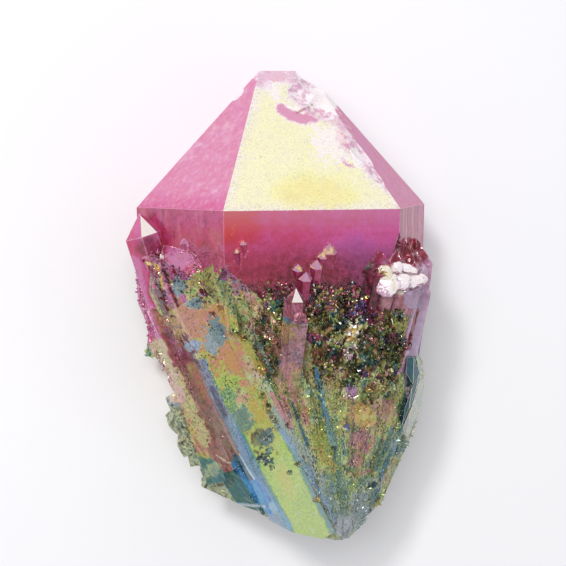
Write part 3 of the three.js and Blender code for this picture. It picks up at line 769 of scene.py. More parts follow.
def look_slope():
    ground = rough_ground(0.745, 0.34, 0)
    film = over(ground["film"], spots((0.9, -20.5, 0.5, 5, 8), (3.4, -33.5, 0.9, 4.5, 12)), 0.59)
    film = blend(film, 0.665, step(-29, -35, y) * 0.7)
    film = blend(film, 0.8, spot(5.8, -22.2, 2.4, 2) * 0.9)
    film = over(film, spot(9.2, -22.2, 1.4, 1.7), 0.94)
    film = np.where(spot(7.4, -28, 2, 2.6) * step(-0.05, 0.1, mid) > 0.4, 0.91, film)
    film = over(film, spot(4.2, -23.9, 0.35, 0.6), 0.48)
    haze = ground["haze"] + 0.25 * spot(4.2, -19.8, 1, 1) + 0.15 * step(-30, -36, y)
    return dict(ground, film=film, haze=haze)


def look_right_side():
    high = step(-17, -13, y)
    teal = spots((13.1, -19.5, 0.8, 2.2, -20), (12, -23.4, 0.5, 2, -20))
    film = np.where(high > 0.5, 0.36, np.where(teal > 0.4, 0.6, RUNS["film"]))
    return dict(RUNS, film=film, haze=RUNS["haze"] + 0.25 * high, dark=blend(RUNS["dark"], 0.75, teal))


def look_upright():
    film = 0.935 + 0.06 * grit - 0.13 * step(-16, -18.5, y + 2 * grit)
    film = np.where(y + 1.6 * grit + 1.6 * mid > -12.2, 0.25, film)
    return dict(film=film, haze=0.17 + 0.1 * grit,
                dark=0.34 + 0.16 * step(0.5, 0.3, ladder) + 0.4 * grit + 0.3 * hairs, gloss=0.14,
                metal=0.3, pits=0.55, edge=0.2)


def look_bunch():
    film = 0.3 + 0.05 * mid
    low = step(-10.6, -12.4, y + 1.6 * mid)
    bright = spots((10.4, -7.9, 2.3, 1.6, 20, 0.7), (7.6, -7.6, 1.4, 1.9, 0, 0.6))
    hollow = spot(7.3, -6.9, 0.5, 0.6)
    crown = step(-5.6, -4.6, y)
    strip = step(12.2, 12.9, x - 0.25 * (y + 8)) * step(17.5, 19.5, z)
    film = blend(film, 0.22, crown)
    film = over(film, low, 0.8 + 0.3 * hairs)
    film = over(film, strip, 0.345)
    film = over(film, bright, 0.02)
    film = over(film, bright * step(0.07, 0.12, grit), 0.12)
    film = over(film, hollow, 0.14)
    dark = 0.44 + 0.3 * grit + 0.3 * (ladder - 0.5) + 0.5 * hairs + 0.2 * crown
    dark += 0.35 * low * (1 - strip) * step(0.05, -0.1, mid)
    dark = np.maximum(dark * (1 - bright) * (1 - 0.7 * strip), 0.5 * hollow)
    haze = 0.06 + 0.35 * strip + 0.8 * bright * (1 - hollow)
    return dict(film=film, haze=haze, dark=dark, pits=0.15 + 0.6 * low * (1 - strip), gloss=0.1,
                metal=0.3, mottle=0.03, edge=0.45)


def look_crust():
    film = 0.8 + 0.4 * grit + 0.2 * mid
    film = np.where(mid < -0.12, 0.6, film)
    film = np.where(y > -9.2, 0.24, film)
    upper = dict(film=film, dark=0.82 - 0.4 * step(0.05, 0.22, grit), haze=0.03, gloss=0.12,
                 metal=0.5, pits=0.5, mottle=0.08)
    return mixed(upper, rough_ground(0.745, 0.34, 0.12), y <= -18.5)


def look_mass():
    ground = rough_ground(0.765, 0.3, 0.04)
    high = step(-8.5, -6.5, y + 1.5 * mid) * step(-2, -6, x)
    film = over(ground["film"], high, 0.31 + 0.04 * mid)
    return glassy_foot(dict(ground, film=film, dark=ground["dark"] + 0.2 * high))


def look_knob():
    glossy = spot(-12.4, -21.6, 1.4, 1.3, 0, 0.5)
    film = blend(0.735 + 0.1 * grit, 0.6, glossy)
    return dict(film=film, haze=0.36 + 0.16 * glossy,
                dark=0.1 + 0.55 * step(0.5, 0.4, fine) + 0.15 * glossy, gloss=0.16, metal=0.2,
                pits=0.7 - 0.5 * glossy)


GLASS = dict(film=0.635 + 0.05 * mid, dark=0.48 + 0.25 * grit, haze=0.08 + 0.2 * step(0.08, 0.2, mid),
             gloss=0.08, metal=0.15, edge=0.2)
SPROUT = dict(film=0.26 + 0.06 * grit, haze=0.03, dark=0.46, gloss=0.1, metal=0.35)
RUNS = dict(rough_ground(0.645, 0.26, 0.02, 0.1), edge=0.4)
RODS = look_rods()
LOOKS = {
    "front_tip": look_front_tip(), "left_tip": look_left_tip(), "right_tip": look_right_tip(),
    "back": look_back(), "front": look_front(), "left_side": look_left_side(),
    "right_side_big": look_right_side_big(), "left": look_left(), "spark": look_spark(),
    "flank": look_flank(), "rods": RODS, "leftbits": RODS, "glass_rod": look_glass_rod(),
    "plate": look_plate(), "strip": look_strip(), "ridge": look_ridge(), "slope": look_slope(),
    "runs": RUNS, "low": RUNS, "right_side": look_right_side(), "upright": look_upright(),
    "bunch": look_bunch(), "crust": look_crust(), "mass": look_mass(), "knob": look_knob(),
    "glass": GLASS, "sprout": SPROUT, "under": rough_ground(0.8, 0.3, 0.15),
    "ledge": mixed(rough_ground(0.8, 0.3, 0.05), SPROUT, y > -6.6),
    "blade": dict(film=0.61 + 0.04 * mid, dark=0.66, haze=0.08, gloss=0.08, metal=0.2, edge=1),
    "splinter": dict(film=0.7 + 0.12 * mid, haze=0.25, dark=0.15 + 0.4 * (grit + 0.1), pits=0.25,
                     gloss=0.1, metal=0.15, edge=0.6),
    # The chips: pink, with white patches that are painted highlights.
    "chip": dict(film=0.305 + 0.03 * grit, haze=0.52 + 0.5 * step(-0.04, 0.06, grit), gloss=0.12,
                 metal=0.05, dark=0.2 * step(-0.08, -0.2, grit)),
    "root": dict(film=0.6 + 0.2 * mid, haze=0.25, dark=0.35 + 0.2 * grit, pits=0.3, mottle=0.05),
}
corner_point = tris.ravel()
values = np.zeros((len(corner_point), len(ELEMENTS)))
for kind, look in LOOKS.items():
    here = corner_kind == kind
    for k, name in enumerate(ELEMENTS):
        everywhere = np.broadcast_to(look.get(name, PLAIN[name]), len(points))
        values[here, k] = everywhere[corner_point[here]]


# ---------------------------------------------------------------- patches and streaks

def seen_place(places):
    """Where the camera sees places (pixels)."""
    out = places - EYE
    ahead = -(out @ EYE_BACK)
    return FRAME / 2 + FOCAL * (out @ EYE_RIGHT) / ahead, FRAME / 2 - FOCAL * (out @ EYE_UP) / ahead


seen_x, seen_y = seen_place(points)
wobble = 0.55 * (fbm(points * 1.1 + 11, 3, 113) - 0.5) + 0.75 * (fbm(points * 3.1 + 2, 2, 127) - 0.5)
in_view = np.repeat(facing[tri_region] > 0.05, 3)
TIP = in_view & np.isin(corner_kind, ["front_tip", "left_tip", "right_tip", "chip"])
BIG = in_view & np.isin(corner_kind, ["front", "left_side", "right_side_big"])
LOW = in_view & ~TIP & ~BIG & (corner_kind != "spark")
FILM, HAZE_AND_GLINT, DARK = (ELEMENTS.index(name) for name in ("film", "haze", "dark"))


def mark(px, py, wide, tall, turn=0, ragged=1.6):
    """1 inside an oval at a place in the camera's view (pixels), with a ragged rim."""
    return step(1.16, 0.84, oval(seen_x - px, seen_y - py, wide, tall, turn) + wobble * ragged)


def streak(path, half, ragged=1.3, soft=0.3):
    """1 along a line of places in the camera's view (pixels)."""
    ends = np.array(path, float)
    far = gap_to(np.stack([seen_x, seen_y], axis=1), ends[:-1], ends[1:]) / half
    return step(1 + soft, 1 - soft, far + wobble * ragged)


def paint(on, mask, tones, more=None):
    """Lays film, dark, haze and pits (None leaves one) where the mask is 1, and what more says."""
    new = dict(zip(("film", "dark", "haze", "pits"), tones), **(more or {}))
    much = new.pop("much", 1)
    weight = much * mask[corner_point] * on
    for name, value in new.items():
        k = ELEMENTS.index(name)
        whole = much * np.repeat(weight.reshape(-1, 3).mean(axis=1) > 0.5 * much, 3)
        if value is not None:
            values[:, k] = blend(values[:, k], value, whole if k == FILM else weight)
    # On the tip each mark gets a white rim, a painted highlight along its edge.
    if on is TIP:
        rim = 0.8 * step(0.02, 0.3, weight) * step(0.98, 0.7, weight)
        values[:, HAZE_AND_GLINT] = np.maximum(values[:, HAZE_AND_GLINT], rim)


# Every row says where, as an oval or a line in the view (pixels), then film, dark, haze and
# pits, and then how much of it shows if not all, and what else changes.

# the broken edge of the tip; its white marks are painted highlights on the chips, and the pale
# yellow one over the tip face is painted reflection
TIP_PATCHES = [
    (mark(322, 100, 15, 16, 0, 0.8), (0.02, 0, 0.9)),
    (streak([(281, 108), (290, 115), (302, 119), (316, 117)], 5.5, 0.5), (0.305, 0.04, 0.28, 0.1)),
    (mark(318, 113, 8, 5, 0, 1.2), (0.305, 0, 0.42)),
    (streak([(297, 112), (306, 108), (314, 104)], 0.9, 0.4, 0.6), (0.3, 0.3, 0.1)),
    (streak([(289, 107), (300, 109)], 1.6, 0.5), (0.03, 0, 0.8)),
    (mark(346, 142, 7, 13, -28, 1.8), (0.315, 0.04, 0.34)),
    (mark(357, 158, 4.5, 11, -28, 0.8), (0.02, 0, 0.95)),
    (streak([(342, 158), (346, 164), (353, 167)], 1.6, 0.5), (0.305, 0.1, 0.25)),
    (mark(330, 140, 16, 22, -25, 2.6), (0.046, None, 0.55), dict(much=0.45)),
    (mark(274, 76, 18, 7, 0, 1.5), (0.31, 0.03, 0.3), dict(much=0.8)),
]
# the big crystal's left side
SIDE_PATCHES = [
    (streak([(163, 204), (162, 236)], 1.3), (None, 0.45)),
    (streak([(185, 204), (186, 220)], 0.9), (None, 0.3)),
    (mark(207, 258, 20, 15, 30, 1.8), (0.285, 0.3, 0.08, 0.6), dict(much=0.7)),
    (mark(211, 285, 13, 16, -30, 1.5), (0.77, 0.24, 0.12, 0.9)),
]
# the left crystal and the rods beside it
LEFT_PATCHES = [
    (mark(151, 249, 9, 8), (0.27, 0.48, 0.03)),
    (streak([(161, 242), (164, 262)], 4), (0.24, 0.6, 0)),
    (mark(190, 258, 24, 16), (None, 0.12, 0.12, 0.45)),
    (mark(197, 262, 6.5, 14, -10, 2.4), (0.275, 0.34, 0.1, 0.85)),
    (mark(199, 276, 7, 7, 0, 2.4), (0.76, 0.3, 0.12, 0.9)),
    (mark(178, 262, 12, 12), (0.318, 0.08, 0.22, 0.2)),
    (streak([(158, 268), (174, 314)], 3.4), (0.315, 0.05, 0.15)),
    (streak([(168, 264), (184, 300)], 3.2), (0.315, 0.08, 0.12)),
    (streak([(149, 262), (160, 292), (180, 342)], 2.6), (0.23, 0.78, 0)),
    (streak([(163, 270), (179, 308)], 1.7), (0.23, 0.8, 0)),
    (streak([(173, 268), (183, 292)], 1.3), (0.23, 0.75, 0)),
    (streak([(147, 263), (157, 266), (164, 290)], 1.7), (0.1, 0.05, 0.05)),
    # a small white dot: painted glint
    (mark(161, 258, 3, 2.2), (0.02, 0, 0.95)),
    (mark(175, 331, 6, 5), (0.5, 0.25, 0.35)),
    # a small white dot: painted glint
    (mark(169, 333, 2.5, 1.5), (0.02, 0, 0.95)),
]
# the brown rod between the flank and the plate
ROD_PATCHES = [
    (streak([(168, 340), (192, 386), (226, 456)], 13, 0.6), (0.15, 0.6, 0.24, 0.45)),
    (streak([(166, 340), (186, 366)], 8, 1), (0.215, 0.58, 0.1)),
    (streak([(192, 366), (210, 400)], 5), (0.15, 0.42, 0.14)),
    (streak([(212, 414), (230, 450)], 7), (0.15, 0.56, 0.4)),
    (streak([(174, 372), (190, 408), (205, 440)], 6.5, 1.4), (0.79, 0.1, 0.22, 0.6)),
    (streak([(172, 376), (182, 400)], 3.5, 1.4), (0.88, 0.05, 0.35, 0.4)),
    # a thin pale line along the broken rim: painted highlight
    (streak([(216, 455), (228, 463), (239, 461), (240, 452)], 0.9, 0.3), (0.08, 0.2, 0.42)),
]
# the plate: pink and gold above, green below, slate patches, one dark pit
PLATE_PATCHES = [
    (mark(190, 320, 21, 20, 0, 2.4), (0.89, 0.1, 0.14, 0.3), dict(much=0.9)),
    (mark(219, 316, 15, 10, 20, 2.4), (0.845, 0.02, 0.06, 0.15), dict(much=0.9)),
    (mark(233, 354, 12, 19, -25, 2.4), (0.868, 0.02, 0.06, 0.12), dict(much=0.9)),
    (streak([(232, 322), (262, 372)], 4), (0.785, 0.02, 0.04)),
    (mark(201, 356, 8, 4), (0.775, 0.02)),
    (mark(229, 384, 12, 8), (0.745, 0.02, 0.05)),
    (mark(259, 404, 10, 20, -20), (0.8, 0.02, 0.05)),
    (mark(228, 402, 9, 16, -20), (0.7, 0.05, 0.08)),
    (mark(242, 418, 8, 12, -20), (0.665, 0.22, 0.18)),
    (mark(286, 482, 6, 22, -25), (0.775, 0, 0.2), dict(much=0.7)),
    (mark(179, 287, 6.5, 9), (0.61, 0.25, 0.34)),
    (mark(195, 303, 8.5, 6.5), (0.61, 0.25, 0.34)),
    (mark(217, 332, 7.5, 14, -20), (0.62, 0.28, 0.3)),
    (mark(193, 346, 8, 5), (0.56, 0.15, 0.4)),
    (streak([(203, 364), (213, 392), (228, 420)], 4.5), (0.53, 0.42, 0.34)),
    (streak([(212, 388), (232, 432), (240, 450)], 2.6, 0.6), (0.49, 0.6, 0.1)),
    (streak([(228, 420), (252, 474), (288, 524)], 3.2, 0.5, 0.5), (0.575, 0.14, 0.2)),
    (streak([(238, 464), (270, 508)], 7, 0.4, 0.3), (0.548, 0.06, 0, 0)),
    (streak([(272, 506), (288, 526)], 4.2, 0.4, 0.3), (0.59, 0, 0.24)),
    (streak([(276, 410), (314, 466), (342, 520)], 4.8, 1, 0.5), (0.665, 0.04, 0.42)),
    (streak([(270, 414), (308, 470), (336, 524)], 2.6, 0.8, 0.4), (0.59, 0, 0.3)),
    (mark(266, 438, 8.5, 8.5, 45, 0.9), (0.64, 0.52, 0.26)),
    (mark(264, 456, 11, 10) * (grit > 0.03), (0.64, 0.72, 0.1)),
]
# the pitted strip and the groove beside it
STRIP_PATCHES = [
    (mark(330, 458, 13, 16, -12, 2.2), (0.745, 0, 0.16, 0.5), dict(much=0.7)),
    (mark(300, 432, 7, 14, -25, 2), (0.745, 0, 0.22, 0.5), dict(much=0.7)),
    (streak([(252, 330), (272, 372)], 2, 1.6), (0.66, 0.34, 0.25)),
    (streak([(270, 330), (284, 366), (296, 402)], 3.4, 2.2), (0.925, 0.24, 0.1), dict(much=0.85)),
    (streak([(292, 404), (308, 446)], 1.6, 1.4), (0.62, 0.55, 0.05)),
    (streak([(262, 396), (277, 428)], 3) * (grit > -0.06), (0.74, 0.74)),
    (streak([(272, 394), (290, 428)], 3), (0.925, 0.02, 0.18)),
    (streak([(316, 368), (322, 400), (332, 440)], 2.6, 2.4), (0.59, 0.16, 0.12), dict(much=0.9)),
    (streak([(332, 440), (338, 480), (346, 520)], 2.6, 2.4), (0.63, 0.16, 0.2), dict(much=0.8)),
    (streak([(330, 420), (343, 500)], 4, 2.4), (0.66, 0.1, 0.15), dict(much=0.6)),
    (mark(338, 495, 12, 22, -12, 2), (0.655, 0.12, 0.2), dict(much=0.5)),
]
# the low right and the root
ROOT_PATCHES = [
    (mark(351, 392, 5, 8, -20, 2.2), (0.385, 0.15, 0.3, 0.45)),
    (mark(363, 414, 15, 12), (0.82, 0.02, 0.1, 0.35)),
    (mark(386, 410, 12, 9), (0.86, 0.16, 0.26, 0.5)),
    (mark(348, 427, 3, 4.6), (0.49, 0.35)),
    (mark(360, 442, 11, 11, 0, 2.2), (0.925, 0.16, 0.16), dict(much=0.9)),
    (mark(358, 462, 7, 7, 0, 2.2), (0.9, 0.16, 0.16), dict(much=0.9)),
    (mark(382, 452, 10, 14, 0, 2.2), (0.655, None, 0.25), dict(much=0.6)),
    (mark(335, 400, 9, 9, 0, 2.2), (0.74, 0.3), dict(much=0.6)),
    (mark(286, 330, 9, 10, 0, 2.2), (0.79, 0.26), dict(much=0.6)),
    (mark(322, 445, 8, 24, -18, 2), (0.77, 0.1, 0.06), dict(much=0.8)),
    (streak([(402, 428), (384, 470), (374, 500)], 2.4), (0.575, 0.28, 0.12), dict(much=0.8)),
    (streak([(394, 428), (376, 470)], 1.8), (0.62, 0.35, 0.15), dict(much=0.8)),
    (streak([(410, 434), (392, 476)], 2), (0.7, 0.02, 0.35), dict(much=0.7)),
    (mark(373, 484, 7, 6, 0, 0.4), (0.7, 0, 0.45)),
    (mark(373, 485, 4.5, 3.6, 0, 0.4), (0.6, 0.8, 0)),
    (mark(361, 512, 11, 20, 15), (0.635, 0.08, 0.42)),
    (mark(345, 528, 12, 11), (0.625, 0, 0.52)),
    (mark(213, 470, 8, 8), (0.7, 0.3, 0.3)),
    (mark(238, 288, 10, 9, 0, 2.2), (0.935, 0.16, 0.12, 0.6)),
    (mark(400, 442, 8, 14, 15, 2), (0.63, 0.1, 0.3, 0.5), dict(much=0.8)),
]
# the edges, and around the bunch
EDGE_PATCHES = [
    (streak([(424, 300), (419, 330), (411, 356)], 5.5, 0.4), (0.385, 0.16, 0.48, 0.2)),
    (streak([(419, 306), (409, 340), (401, 362)], 1.6, 0.8), (0.2, 0.66, 0)),
    (streak([(414, 362), (412, 384), (405, 420)], 5.5, 0.3), (0.61, 0.74, 0.05, 0.1)),
    (streak([(424, 372), (420, 400), (410, 434)], 5, 0.3), (0.73, 0.06, 0.55, 0.1)),
    (mark(379, 252, 13, 9, 0, 0.3), (0.285, 0.26, 0.04), dict(edge=0)),
    (streak([(370, 244), (374, 300)], 13, 0.5), (0.262, 0.56, 0, 0.35), dict(edge=0, metal=0.1, gloss=0.4)),
    (streak([(368, 272), (374, 314)], 11, 0.8), (0.24, 0.78, 0), dict(edge=0)),
    (mark(398, 306, 20, 11, 0, 1.2), (0.22, 0.4, 0.38, 0.4), dict(much=0.85, edge=0)),
    (mark(418, 298, 14, 12, 0, 0.8), (0.39, 0.24, 0.44), dict(edge=0)),
    (streak([(134, 262), (142, 300), (156, 345)], 7, 0.8), (0.312, 0.08, 0.14, 0.25)),
    (streak([(158, 348), (176, 394)], 8, 1.2), (0.9, 0.04, 0.46), dict(much=0.9)),
    (streak([(158, 348), (176, 394)], 8, 1.2) * step(-0.03, 0.03, hairs), (0.8, 0.06, 0.4)),
    (streak([(236, 458), (250, 478)], 3.2, 0.5), (0.6, 0.62, 0.05)),
    # thin light lines along rims, here and in the next row: painted highlights
    (streak([(240, 456), (248, 470), (254, 479)], 0.8, 0.4), (0.6, 0, 0.62)),
    (streak([(228, 503), (264, 507)], 1.4, 0.5), (0.62, 0.05, 0.5)),
    # a dark green hollow: painted shadow
    (mark(388, 352, 10, 13), (0.72, 0.84, 0)),
    (mark(409, 252, 22, 15, 0, 0.5), (0.232, 0.66, 0), dict(edge=0.4, metal=0.1)),
]
LOW_PATCHES = (LEFT_PATCHES + ROD_PATCHES + PLATE_PATCHES + STRIP_PATCHES + ROOT_PATCHES
               + EDGE_PATCHES)
for on_kinds, rows in ((TIP, TIP_PATCHES), (BIG, SIDE_PATCHES), (LOW, LOW_PATCHES)):
    for row in rows:
        paint(on_kinds, *row)
values = np.clip(values, 0, 1)


# ---------------------------------------------------------------- material

def linear(*colour):
    """Colour from 0 to 255 as seen, to the renderer's scale."""
    shares = [c / 255 for c in colour]
    return (*(c / 12.92 if c <= 0.04045 else ((c + 0.055) / 1.055) ** 2.4 for c in shares), 1.0)


FILM_COLOURS = [
    (0.00, (252, 246, 228)), (0.05, (243, 238, 164)), (0.10, (240, 205, 95)),
    (0.15, (226, 135, 85)), (0.20, (205, 35, 50)), (0.26, (205, 50, 105)),
    (0.32, (208, 80, 155)), (0.38, (168, 75, 165)), (0.44, (95, 80, 165)),
    (0.50, (50, 95, 175)), (0.56, (80, 165, 215)), (0.62, (60, 145, 145)),
    (0.68, (90, 150, 100)), (0.74, (180, 212, 86)), (0.80, (200, 180, 70)),
    (0.86, (212, 150, 85)), (0.91, (212, 135, 125)), (0.96, (190, 115, 155)),
    (1.00, (105, 145, 120)),
]


class Graph:
    """A new material and short ways to add and join its shader nodes."""

    def __init__(self, name):
        self.material = bpy.data.materials.new(name)
        self.material.use_nodes = True
        self.tree = self.material.node_tree
        self.tree.nodes.clear()

    def feed(self, value, socket):
        if isinstance(value, (int, float, tuple)):
            socket.default_value = value
        else:
            self.tree.links.new(value, socket)

    def add(self, kind, sockets=(), **settings):
        """A node with its sockets fed, by name or number."""
        node = self.tree.nodes.new("ShaderNode" + kind)
        for key, value in settings.items():
            setattr(node, key, value)
        for key, value in dict(sockets).items():
            self.feed(value, node.inputs[key])
        return node

    def math(self, operation, a, b=0.0, clamp=False):
        return self.add("Math", {0: a, 1: b}, operation=operation, use_clamp=clamp).outputs[0]

    def plus(self, a, b, clamp=False):
        return self.math("ADD", a, b, clamp)

    def minus(self, a, b):
        return self.math("SUBTRACT", a, b)

    def times(self, a, b, clamp=False):
        return self.math("MULTIPLY", a, b, clamp)

    def value(self, name, output="Fac"):
        return self.add("Attribute", attribute_name=name).outputs[output]

    def noise(self, place, scale, detail=3.0, rough=0.5):
        sockets = {"Vector": place, "Scale": scale, "Detail": detail, "Roughness": rough}
        return self.add("TexNoise", sockets).outputs["Fac"]

    def span(self, value, low, high, to_low=0.0, to_high=1.0):
        sockets = {"Value": value, "From Min": low, "From Max": high, "To Min": to_low,
                   "To Max": to_high}
        return self.add("MapRange", sockets, interpolation_type="SMOOTHSTEP").outputs["Result"]

    def mix(self, factor, a, b):
        return self.add("Mix", {0: factor, 6: a, 7: b}, data_type="RGBA").outputs[2]

    def ramp(self, value, stops):
        node = self.add("ValToRGB", {"Fac": value})
        band = node.color_ramp.elements
        for place, _ in stops[1:-1]:
            band.new(place)
        band[-1].position = stops[-1][0]
        for element, (_, colour) in zip(band, stops):
            element.color = linear(*colour)
        return node.outputs["Color"]

    def surface(self, sockets):
        shader = self.add("BsdfPrincipled", sockets)
        self.add("OutputMaterial", {"Surface": shader.outputs["BSDF"]})
        return self.material


def film_material():
    g = Graph("aura_film")
    weave = g.value("weave", "Vector")
    place = g.add("TexCoord").outputs["Object"]
    broad = g.noise(weave, 0.5, 4.0, 0.6)
    small = g.noise(weave, 1.9, 4.0, 0.65)
    grit = g.noise(weave, 5.5, 3.0, 0.6)
    grain = g.noise(place, 5200, 2.0, 0.7)
    pits = g.value("pits")
    sway = g.times(g.minus(g.plus(broad, small), 1.0), g.times(g.value("mottle"), 5.0))
    sway = g.plus(sway, g.times(g.minus(grit, 0.5), g.times(pits, 0.42)))
    colour = g.ramp(g.plus(g.value("film"), sway, True), FILM_COLOURS)
    # White over the film: milky haze with painted highlights and reflections in it, and light lines along
    # the faces' edges, which are painted highlights.
    haze = g.times(g.value("haze"), g.span(grain, 0.3, 0.7, 0.7, 1.3), True)
    line = g.times(g.span(g.value("gap"), 0.02, 0.11, 1.0, 0.0), g.value("edge"))
    line = g.times(line, g.span(small, 0.35, 0.55, 0.35, 1.0))
    colour = g.mix(g.math("MAXIMUM", haze, line), colour, linear(252, 240, 246))
    colour = g.mix(g.span(grain, 0.42, 0.70, 0.0, 0.16), colour, linear(60, 30, 45))
    for low, high, tone in ((0.46, 0.34, (232, 232, 205)), (0.54, 0.66, (30, 34, 26))):
        fleck = g.times(g.span(grain, low, high), g.times(pits, 0.45), True)
        colour = g.mix(fleck, colour, linear(*tone))
    dark = g.times(g.value("dark"), g.span(small, 0.3, 0.7, 1.3, 0.7), True)
    colour = g.mix(g.times(dark, g.minus(1.0, line), True), colour, linear(26, 18, 20))
    dots = g.add("TexVoronoi", {"Scale": 3.6, "Randomness": 1.0, "Vector": weave}, feature="F1")
    size = g.times(pits, g.span(broad, 0.36, 0.62, 0.1, 0.60))
    hole = g.math("LESS_THAN", dots.outputs["Distance"], size)
    deep = g.times(g.span(grit, 0.50, 0.37), g.times(pits, 0.72), True)
    hole = g.math("MAXIMUM", g.times(hole, 0.8), deep)
    height = g.plus(g.times(small, 0.4), g.times(grain, 0.25))
    height = g.plus(height, g.times(g.minus(grit, hole), pits))
    bump = g.add("Bump", {"Strength": 0.5, "Distance": 0.00014, "Height": height})
    return g.surface({
        "Base Color": g.mix(hole, colour, linear(24, 22, 18)), "Metallic": g.value("metal"),
        "Roughness": g.value("gloss"), "IOR": 1.55, "Coat Weight": 0.35, "Coat Roughness": 0.08,
        "Normal": bump.outputs["Normal"]})


AURA = film_material()


# ---------------------------------------------------------------- the skin

def linked(name, data):
    """A new object in the scene."""
    made = bpy.data.objects.new(name, data)
    bpy.context.scene.collection.objects.link(made)
    return made


def lay(mesh, name, kind, domain, numbers):
    """Gives a mesh a named attribute."""
    layer = mesh.attributes.new(name, kind, domain)
    numbers = numbers.ravel() if kind == "BOOLEAN" else numbers.astype(np.float32).ravel()
    layer.data.foreach_set("vector" if kind == "FLOAT_VECTOR" else "value", numbers)


def piece_from(mesh, corner_values, weave, gap):
    """Makes a mesh a coated piece on the root, with the looks of its corners."""
    for k, name in enumerate(ELEMENTS):
        lay(mesh, name, "FLOAT", "CORNER", corner_values[:, k])
    lay(mesh, "weave", "FLOAT_VECTOR", "POINT", weave)
    lay(mesh, "gap", "FLOAT", "POINT", gap)
    mesh.materials.append(AURA)
    piece = linked(mesh.name, mesh)
    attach(piece, "root")
    return piece


box_low, box_high = (np.array(corner) / MM - SHIFT for corner in cad_box)
mesh = bpy.data.meshes.new("quartz_skin")
mesh.from_pydata((np.clip(shaped, box_low, box_high) + SHIFT) * MM, [], tris, shade_flat=False)
mesh.validate()

# An edge is drawn sharp where two flat faces turn by more than this, cosines.
SHARP = math.cos(math.radians(13))
SHARP_CHIP = math.cos(math.radians(35))      # between two chips
edge_ends = np.zeros(len(mesh.edges) * 2, np.int32)
mesh.edges.foreach_get("vertices", edge_ends)


def edge_keys(ends):
    ends = np.sort(ends.reshape(-1, 2), axis=1).astype(np.int64)
    return ends[:, 0] * len(points) + ends[:, 1]


side_keys = edge_keys(np.stack([tris, np.roll(tris, -1, axis=1)], axis=2))
order = np.argsort(side_keys, kind="stable")
first = np.searchsorted(side_keys[order], edge_keys(edge_ends))
beside = order[[first, np.minimum(first + 1, len(order) - 1)]] // 3
bend = plane_normal[tri_region[beside]].prod(axis=0).sum(axis=1)
on_chip = (tri_kind[beside] == "chip").all(axis=0)
lay(mesh, "sharp_edge", "BOOLEAN", "EDGE", bend < np.where(on_chip, SHARP_CHIP, SHARP))
lay(mesh, "sharp_face", "BOOLEAN", "FACE", np.isin(tri_kind, ["crust", "knob"]))
straight = on("front_tip", "left_tip", "right_tip", "back", "front", "right_side_big", "chip") > 0
weave = np.where(straight[:, None], points, np.stack([fan_x, fan_z, reach * 0.6], axis=1))
skin = piece_from(mesh, values, weave, np.minimum(gap, 2))
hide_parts("quartz_cluster")


# ---------------------------------------------------------------- tiny crystals on the skin

rng = np.random.default_rng(23)
tri_middle = shaped[tris].mean(axis=1)
tri_area = np.linalg.norm(np.cross(shaped[tris[:, 1]] - shaped[tris[:, 0]],
                                   shaped[tris[:, 2]] - shaped[tris[:, 0]]), axis=1) / 2
mx, my, mz = tri_middle.T
patchy = fbm(tri_middle * 0.5 + 3, 3, 101)


def tri_on(*names):
    return np.isin(tri_kind, names).astype(float)


# where they grow: thickly in the hollow below the front face, thinly on rough ground
hollow = step(-7.8, -9.0, my + 2.2 * (patchy - 0.5) + 0.08 * (mx - 3))
hollow *= step(-16.2, -12.6, my + 7 * hairs[tris[:, 0]] + 7.0 * step(-2.5, 5.0, mx) - 1.5)
hollow *= step(-6.5, -4.5, mx) * step(11.5, 9.5, mx) * (mz > 18)
outside = hollow < 0.5
density = hollow * (tri_on("front", "crust", "mass", "slope", "ridge") + 0.3 * tri_on("strip")
                    + tri_on("bunch") * step(-10.8, -12.2, my) * (mx < 11.9))
density *= step(0.36, 0.54, fbm(tri_middle * 1.1 + 8, 2, 103)) * blend(1.0, 0.6, step(-11, -14, my))
density += 0.25 * tri_on("crust") * outside * (my > -18.5)
density += 0.16 * tri_on("slope", "ridge", "runs", "mass") * step(0.45, 0.6, patchy) * outside
density += 0.03 * tri_on("right_side", "under", "back") * step(0.52, 0.62, patchy) * (my < -9)
by_left_crystal = np.exp(-((mx + 15.6) ** 2 + (my + 5.6) ** 2) / 0.5)
density += 0.8 * tri_on("left_side", "rods", "leftbits") * by_left_crystal


def glow(seen, px, py, wide, tall):
    """1 at a place in the camera's view (pixels), falling off softly around it."""
    return np.exp(-((seen[0] - px) / wide) ** 2 - ((seen[1] - py) / tall) ** 2)


cluster = glow(seen_place(tri_middle), 353, 335, 8, 9)
weight = density * tri_area * (1 + 2.5 * cluster * (hollow > 0.5))
chosen = rng.choice(len(tris), TINY_CRYSTALS, p=weight / weight.sum())
place = tri_middle[chosen]
in_hollow = hollow[chosen] > 0.5
# most of them are narrow and short, in mm
width = np.where(in_hollow, 0.11 + 0.42 * rng.random(TINY_CRYSTALS) ** 5.0,
                 0.10 + 0.15 * rng.random(TINY_CRYSTALS) ** 2.0)
width = width * (1 + 0.25 * glow(seen_place(place), 352, 338, 8, 14))
length = width * (1.6 + 3.2 * rng.random(TINY_CRYSTALS) ** 2)
axis = plane_normal[tri_region[chosen]] * 0.62 + unit_rows(place - ROOT) * 0.85
axis = unit_rows(axis + rng.normal(0, 0.42, axis.shape))
foot = place - axis * (length * 0.45)[:, None]
flat = unit_rows(np.cross(axis, rng.normal(0, 1, axis.shape)))
side = np.cross(axis, flat)
wide = width * (0.8 + 0.5 * rng.random(TINY_CRYSTALS))
angles = np.radians(np.arange(6) * 60.0 + 30)[:, None]
ring = (np.cos(angles) * side[:, None] * (wide / 2)[:, None, None]
        + np.sin(angles) * flat[:, None] * (width / 2)[:, None, None])
shoulder = foot + axis * (length - width * 0.5)[:, None]
tip = foot + axis * length[:, None] + ring[:, 0] * 0.45
low_end = foot - axis * (length * 0.6)[:, None]
